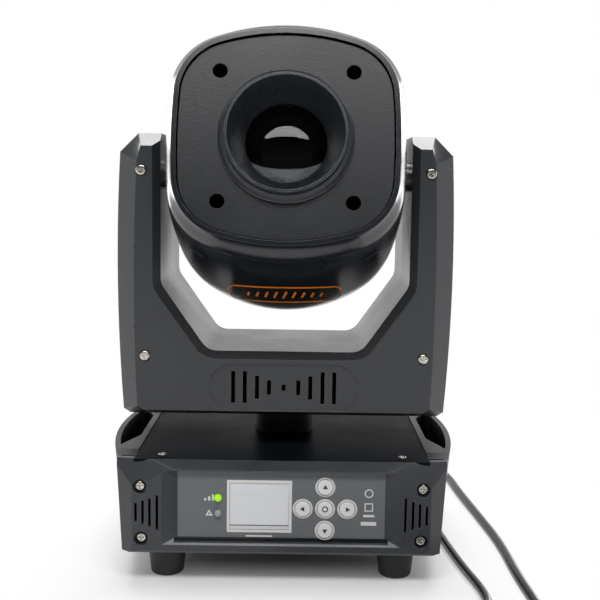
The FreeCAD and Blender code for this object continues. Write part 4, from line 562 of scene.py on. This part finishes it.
def lay_floor():
    """Pale floor that keeps the soft shadow; near the base it is left darker as a painted shadow, and
    its far part reads as plain white.
    """
    let_go()
    bpy.ops.mesh.primitive_plane_add(size=12.0, location=(0, 0, 0))
    floor = bpy.context.object
    floor.name = "floor"
    material, tree, shader = blank_material("pale_floor")
    flecks = add_noise(tree, place_vector(tree), 8.0, 3.0, 0.5)
    tone = add_mix(tree, flecks, (0.86, 0.86, 0.865), (0.88, 0.88, 0.885))
    tree.links.new(tone, shader.inputs["Base Color"])
    shader.inputs["Roughness"].default_value = 0.75
    sides = tree.nodes.new("ShaderNodeVectorMath")
    sides.operation = "ABSOLUTE"
    tree.links.new(place_vector(tree), sides.inputs[0])
    apart = tree.nodes.new("ShaderNodeSeparateXYZ")
    tree.links.new(sides.outputs[0], apart.inputs[0])
    past_base = add_math(tree, "MAXIMUM",
                         add_math(tree, "SUBTRACT", apart.outputs["X"], BASE_HALF_X * MM),
                         add_math(tree, "SUBTRACT", apart.outputs["Y"], BASE_HALF_Y * MM))
    # Painted shadow: the floor round the base gets no white lift and stays darker.
    far = add_range(tree, past_base, *FLOOR_FADE, 0.0, 1.0)
    far.node.interpolation_type = "SMOOTHSTEP"
    lift = tree.nodes.new("ShaderNodeEmission")
    both = tree.nodes.new("ShaderNodeMixShader")
    tree.links.new(add_math(tree, "MULTIPLY", seen_directly(tree), far), both.inputs["Fac"])
    tree.links.new(shader.outputs[0], both.inputs[1])
    tree.links.new(lift.outputs[0], both.inputs[2])
    tree.links.new(both.outputs[0], tree.nodes["Material Output"].inputs["Surface"])
    floor.data.materials.append(material)


def light_world():
    """White to the eye; as a light, a bright backdrop with a dimmer room in front of it."""
    world = bpy.data.worlds.new("studio")
    bpy.context.scene.world = world
    world.use_nodes = True
    tree = world.node_tree
    parts = tree.nodes.new("ShaderNodeSeparateXYZ")
    tree.links.new(tree.nodes.new("ShaderNodeTexCoord").outputs["Generated"], parts.inputs[0])
    room = add_range(tree, parts.outputs["Y"], -0.75, 0.25, 0.12, 1.0)
    overhead = add_range(tree, parts.outputs["Z"], 0.20, 0.60, 1.0, 0.25)
    room = add_math(tree, "MULTIPLY", room, overhead)
    share = add_range(tree, seen_directly(tree), 0.0, 1.0, 0.40, 1.0)
    light = add_math(tree, "MULTIPLY", room, share)
    path = tree.nodes.new("ShaderNodeLightPath")
    strength = add_math(tree, "MAXIMUM", light, path.outputs["Is Camera Ray"])
    tree.nodes["Background"].inputs["Color"].default_value = (1, 1, 1, 1)
    tree.links.new(strength, tree.nodes["Background"].inputs["Strength"])


def hang_lamp(name, place, aim, size, power):
    data = bpy.data.lights.new(name, "AREA")
    data.shape = "RECTANGLE"
    data.size, data.size_y = size
    data.energy = power
    lamp = bpy.data.objects.new(name, data)
    bpy.context.scene.collection.objects.link(lamp)
    lamp.visible_camera = False
    lamp.location = place
    lamp.rotation_euler = (Vector(aim) - Vector(place)).to_track_quat("-Z", "Y").to_euler()


def light_studio():
    light_world()
    hang_lamp("key_softbox", (0.0, -0.84, 1.24), (0, 0, 0.25), (1.3, 0.35), 13.0)
    hang_lamp("overhead_softbox", (0.0, 0.42, 1.35), (0, 0, 0.20), (1.3, 0.5), 20.0)
    hang_lamp("left_rim", (-0.95, 0.95, 0.35), (0, 0, 0.25), (0.6, 0.7), 5.0)
    hang_lamp("right_rim", (0.95, 0.95, 0.35), (0, 0, 0.25), (0.6, 0.7), 5.0)


# ---------------------------------------------------------------- leads
def ease(value, low, high):
    """Smooth step from 0 to 1."""
    t = max(0.0, min(1.0, (value - low) / (high - low)))
    return t * t * (3 - 2 * t)


def coil_points(centre, diameter, start, way, tie_at):
    """Control points of a coil two turns wide and two high: outer, inner, then the same on top."""
    widest = outer_turn(diameter)
    points = []
    count = round(COIL_SWEEP / 360 * COIL_STEPS)
    for i in range(1, count + 1):
        swept = COIL_SWEEP * i / count
        inward = ease(swept, *MOVE_IN) - ease(swept, *MOVE_OUT)
        lift = ease(swept, *CLIMB)
        angle = math.radians(start + way * swept)
        apart = abs((math.degrees(angle) - tie_at + 180) % 360 - 180)
        over_tie = TIE_LIFT * (1 - ease(apart, 0, TIE_REACH))
        radius = (widest - diameter * inward) / math.cos(math.pi / COIL_STEPS)
        x = centre.x + radius * math.cos(angle)
        y = centre.y + radius * math.sin(angle)
        points.append((x, y, diameter * (0.5 + lift) + over_tie))
    return points


def wrap_tie(name, centre, diameter, tie_at):
    """Hook and loop band round the four strands of a coil."""
    mean = COIL_SHARE * diameter / 2 * MM
    let_go()
    bpy.ops.mesh.primitive_cube_add(size=1.0)
    band = bpy.context.object
    side = (2 * diameter + 2 * TIE_STRAP) * MM
    band.scale = (side, TIE_WIDTH * MM, side)
    lay_down(band)
    open_mesh(band)
    pick_faces(band, lambda c, n: abs(n.y) > 0.9)
    bpy.ops.mesh.delete(type="FACE")
    pick_edges(band, lambda c, d: abs(d.y) > 0.9)
    bpy.ops.mesh.bevel(offset=0.42 * diameter * MM, segments=5, affect="EDGES")
    close_mesh()
    finish_modifier(band, "SOLIDIFY", thickness=TIE_STRAP * MM, offset=-1.0)
    finish_modifier(band, "BEVEL", width=0.15 * MM, segments=1)
    angle = math.radians(tie_at)
    band.rotation_euler = (0, 0, angle)
    x = centre.x * MM + mean * math.cos(angle)
    y = centre.y * MM + mean * math.sin(angle)
    band.location = (x, y, (diameter + TIE_LIFT) * MM)
    return settle(band, name, "base", TIE)


def lead_curve(name, points, diameter):
    """A round lead along one smooth NURBS line."""
    curve = bpy.data.curves.new(name, "CURVE")
    curve.dimensions = "3D"
    spline = curve.splines.new("NURBS")
    spline.points.add(len(points) - 1)
    for place, point in zip(spline.points, points):
        place.co = (*(Vector(point) * MM), 1.0)
    spline.order_u = 3
    spline.use_endpoint_u = True
    spline.resolution_u = 8
    curve.bevel_depth = diameter / 2 * MM
    curve.bevel_resolution = 6
    curve.use_fill_caps = True
    lead = bpy.data.objects.new(name, curve)
    bpy.context.scene.collection.objects.link(lead)
    curve.materials.append(CORD)
    return lead


def outer_turn(diameter):
    """Radius of the line of a coil's outer turn."""
    return COIL_SHARE * diameter / 2 + diameter / 2


def lay_mains_lead():
    """Arrives from behind, winds clockwise from the coil's right side and leaves it to the left."""
    turn = outer_turn(MAINS_D)
    lead_in = [(MAINS_COIL.x + turn, MAINS_COIL.y + 10, MAINS_D / 2)]
    coil = coil_points(MAINS_COIL, MAINS_D, 0, -1, MAINS_TIE_AT)
    out_y = MAINS_COIL.y - turn
    tail = [(MAINS_COIL.x - 10, out_y, 1.5 * MAINS_D),
            (MAINS_COIL.x - 23, out_y, 1.5 * MAINS_D + 0.3)]
    lead = lead_curve("mains_cord", list(MAINS_ROUTE) + lead_in + coil + tail, MAINS_D)
    tie = wrap_tie("mains_cord_tie", MAINS_COIL, MAINS_D, MAINS_TIE_AT)
    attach(lead, "base")
    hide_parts("mains_lead", "mains_lead_coil")


def lay_signal_lead():
    """Runs along the front of the base and winds anticlockwise from its coil's far side."""
    turn = outer_turn(SIGNAL_D)
    lead_in = [(SIGNAL_COIL.x + 10, SIGNAL_COIL.y + turn, SIGNAL_D / 2)]
    coil = coil_points(SIGNAL_COIL, SIGNAL_D, 90, 1, SIGNAL_TIE_AT)
    out_x = SIGNAL_COIL.x - turn
    tail = [(out_x, SIGNAL_COIL.y - 10, 1.5 * SIGNAL_D),
            (out_x, SIGNAL_COIL.y - 24, 1.5 * SIGNAL_D)]
    lead = lead_curve("signal_cord", list(SIGNAL_ROUTE) + lead_in + coil + tail, SIGNAL_D)
    tie = wrap_tie("signal_cord_tie", SIGNAL_COIL, SIGNAL_D, SIGNAL_TIE_AT)
    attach(lead, "base")
    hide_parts("signal_lead", "signal_lead_coil")


# ---------------------------------------------------------------- control panel prints
def flat_plane(centre, half, y):
    """A plain rectangle on the XZ plane at y, ready to be made into a print."""
    let_go()
    bpy.ops.mesh.primitive_plane_add(size=1.0, location=(centre.x * MM, y * MM, centre.y * MM),
                                     rotation=(math.radians(90), 0, 0))
    piece = bpy.context.object
    piece.scale = (2 * half.x * MM, 2 * half.y * MM, 1.0)
    return lay_down(piece)


def hollow_out(piece, line, depth):
    """Leaves a line along the edge of a flat shape and gives it its thickness."""
    open_mesh(piece)
    bpy.ops.mesh.select_all(action="SELECT")
    bpy.ops.mesh.inset(thickness=line * MM, depth=0)
    bpy.ops.mesh.delete(type="FACE")
    close_mesh()
    finish_modifier(piece, "SOLIDIFY", thickness=depth * MM, offset=-1.0)
    return piece


def round_and_raise(piece, corner, segments, depth):
    """Rounds the corners of a flat shape and gives it its thickness."""
    open_mesh(piece)
    bpy.ops.mesh.select_all(action="SELECT")
    bpy.ops.mesh.bevel(offset=corner * MM, segments=segments, affect="VERTICES")
    bpy.ops.mesh.select_all(action="SELECT")
    bpy.ops.mesh.extrude_region_move(TRANSFORM_OT_translate={"value": (0, depth * MM, 0)})
    bpy.ops.mesh.select_all(action="SELECT")
    bpy.ops.mesh.normals_make_consistent(inside=False)
    close_mesh()
    return piece


def flat_frame(centre, half, line, y, depth):
    """A rectangular printed line."""
    return hollow_out(flat_plane(centre, half, y), line, depth)


def flat_bar(centre, half, y, depth):
    """A printed bar with rounded corners."""
    return round_and_raise(flat_plane(centre, half, y), 0.3, 3, depth)


def flat_ring(centre, outer, inner, y, depth, sides=64):
    """A printed ring, or a hollow triangle when it has three sides."""
    let_go()
    bpy.ops.mesh.primitive_circle_add(vertices=sides, radius=outer * MM, fill_type="NGON",
                                      location=(centre.x * MM, y * MM, centre.y * MM),
                                      rotation=(math.radians(90), 0, 0))
    return hollow_out(lay_down(bpy.context.object), outer - inner, depth)


def flat_triangle(centre, radius, turn, y, depth):
    """A printed triangle with rounded corners, turned in its own plane."""
    let_go()
    bpy.ops.mesh.primitive_circle_add(vertices=3, radius=radius * MM, fill_type="NGON",
                                      rotation=(math.radians(90), 0, 0))
    piece = lay_down(bpy.context.object)
    piece.rotation_euler = (0, turn, 0)
    piece.location = (centre.x * MM, y * MM, centre.y * MM)
    return round_and_raise(lay_down(piece), 0.25, 4, depth)


def print_signs():
    """Plain signs in place of words: bars of a signal, a fault triangle, and a column of shapes."""
    y = OVERLAY_Y - PRINT_THICK
    thick = PRINT_THICK
    pieces = []
    for step, tall in enumerate((0.9, 1.5, 2.1)):
        place = Vector((LED_X - 8.6 + 2.6 * step, LED_Z[0] - 2.1 + tall))
        bar = flat_bar(place, Vector((0.75, tall)), y, thick)
        pieces.append(("sign_signal_bar_%d" % (step + 1), bar))
    triangle = flat_ring(Vector((LED_X - 6.0, LED_Z[1] - 0.4)), 2.9, 2.0, y, thick, 3)
    pieces.append(("sign_fault", triangle))
    under = Vector((SCREEN.x, SCREEN.y - 20.6))
    pieces.append(("sign_display_bar", flat_bar(under, Vector((9.0, 0.55)), y, thick)))
    right = KEY_CENTRE.x + SIGN_COLUMN_X
    ring = flat_ring(Vector((right, KEY_CENTRE.y + 11.0)), 3.0, 2.2, y, thick, 40)
    pieces.append(("sign_ring", ring))
    square = flat_frame(Vector((right, KEY_CENTRE.y + 1.4)), Vector((2.9, 2.9)), 0.8, y, thick)
    pieces.append(("sign_square", square))
    for name, drop, half in (("sign_bar", 4.6, (3.8, 0.8)), ("sign_low_bar", 10.0, (5.2, 1.3))):
        place = Vector((right, KEY_CENTRE.y - drop))
        pieces.append((name, flat_bar(place, Vector(half), y, thick)))
    for name, piece in pieces:
        settle(piece, name, "base", PRINT_WHITE)


def press_on_chin(piece):
    """Lays a flat print against the curved lower cover and gives it its thickness."""
    finish_modifier(piece, "SHRINKWRAP", target=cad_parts["head_lower_cover"],
                    wrap_method="PROJECT", use_project_y=True, use_negative_direction=False,
                    use_positive_direction=True, offset=PRINT_THICK * MM)
    finish_modifier(piece, "SOLIDIFY", thickness=0.1 * MM, offset=1.0)


def print_badge():
    """Plain orange badge under the lens: a long rounded outline round a row of slanted strokes."""
    print_badge_outline()
    for step in range(-4, 5):
        print_badge_stroke(step)


def print_badge_outline():
    let_go()
    bpy.ops.mesh.primitive_circle_add(vertices=48, radius=CHIN_BADGE_R * MM, fill_type="NGON",
                                      rotation=(math.radians(90), 0, 0),
                                      location=(0.0, CHIN_BADGE_START_Y * MM, CHIN_BADGE_Z * MM))
    outline = bpy.context.object
    lay_down(outline)
    open_mesh(outline)
    for side in (-1, 1):
        bpy.ops.mesh.select_mode(type="VERT")
        mesh = bmesh.from_edit_mesh(outline.data)
        for vertex in mesh.verts:
            vertex.select_set(vertex.co.x * side > 1e-7)
        bmesh.update_edit_mesh(outline.data)
        bpy.ops.transform.translate(value=(side * CHIN_BADGE_HALF * MM, 0, 0))
    pick_edges(outline, lambda c, d: abs(c.x) < CHIN_BADGE_HALF * MM)
    bpy.ops.mesh.subdivide(number_cuts=23)
    bpy.ops.mesh.select_mode(type="FACE")
    bpy.ops.mesh.select_all(action="SELECT")
    bpy.ops.mesh.inset(thickness=1.0 * MM, depth=0)
    bpy.ops.mesh.delete(type="FACE")
    close_mesh()
    press_on_chin(outline)
    settle(outline, "chin_badge_outline", "head", PRINT_ORANGE)


def print_badge_stroke(step):
    """One slanted stroke, shorter towards the ends of the row."""
    tall = 3.2 - 0.35 * abs(step)
    let_go()
    bpy.ops.mesh.primitive_plane_add(size=1.0, rotation=(math.radians(90), 0, 0))
    stroke = bpy.context.object
    stroke.scale = (1.6 * MM, 2 * tall * MM, 1.0)
    lay_down(stroke)
    stroke.rotation_euler = (0, math.radians(24), 0)
    stroke.location = (6.4 * step * MM, CHIN_BADGE_START_Y * MM, CHIN_BADGE_Z * MM)
    lay_down(stroke)
    open_mesh(stroke)
    bpy.ops.mesh.select_all(action="SELECT")
    bpy.ops.mesh.subdivide(number_cuts=4)
    close_mesh()
    press_on_chin(stroke)
    settle(stroke, "chin_badge_stroke_%d" % (step + 5), "head", PRINT_ORANGE)


def print_panel():
    """Line round the display, a ring round each key, and a mark on each key."""
    film_y = OVERLAY_Y - PRINT_THICK
    key_y = KEY_FACE_Y - MARK_PROUD
    thick = PRINT_THICK
    half = SCREEN_HALF + Vector((SCREEN_LINE, SCREEN_LINE))
    surround = flat_frame(SCREEN, half, SCREEN_LINE, film_y, thick)
    settle(surround, "display_print_line", "base", PRINT_WHITE)
    places = {"up": (0, 1), "down": (0, -1), "left": (-1, 0), "right": (1, 0), "enter": (0, 0)}
    turns = {"up": 0, "down": 180, "left": -90, "right": 90}
    for name, (across, up) in places.items():
        centre = KEY_CENTRE + Vector((across, up)) * KEY_PITCH
        ring = flat_ring(centre, KEY_RING_R, KEY_HOLE_R + 0.05, film_y, thick)
        settle(ring, "key_print_ring_" + name, "base", PRINT_WHITE)
        if name == "enter":
            mark = flat_ring(centre, 2.1, 1.35, key_y, thick, 32)
        else:
            mark = flat_triangle(centre, 2.0, math.radians(turns[name]), key_y, thick)
        settle(mark, "key_mark_" + name, "key_" + name, PRINT_DARK)


def fit_display():
    """Front glass of the display, set just behind the film."""
    let_go()
    place = (SCREEN.x * MM, SCREEN_GLASS_Y * MM, SCREEN.y * MM)
    bpy.ops.mesh.primitive_cube_add(size=1.0, location=place)
    glass = bpy.context.object
    glass.scale = ((2 * SCREEN_HALF.x - SCREEN_GLASS_GAP) * MM, SCREEN_GLASS_THICK * MM,
                   (2 * SCREEN_HALF.y - SCREEN_GLASS_GAP) * MM)
    lay_down(glass)
    open_mesh(glass)
    pick_faces(glass, lambda c, n: n.y < -0.9)
    bpy.ops.mesh.inset(thickness=0.5 * MM, depth=-0.08 * MM)
    close_mesh()
    finish_modifier(glass, "BEVEL", width=0.05 * MM, segments=2)
    settle(glass, "display_glass", "base", DISPLAY)


# ---------------------------------------------------------------- build
place_camera()
dress_frame()
lay_mains_lead()
lay_signal_lead()
fit_display()
print_panel()
print_signs()
print_badge()
lay_floor()
light_studio()
bpy.context.scene.view_settings.view_transform = "Standard"
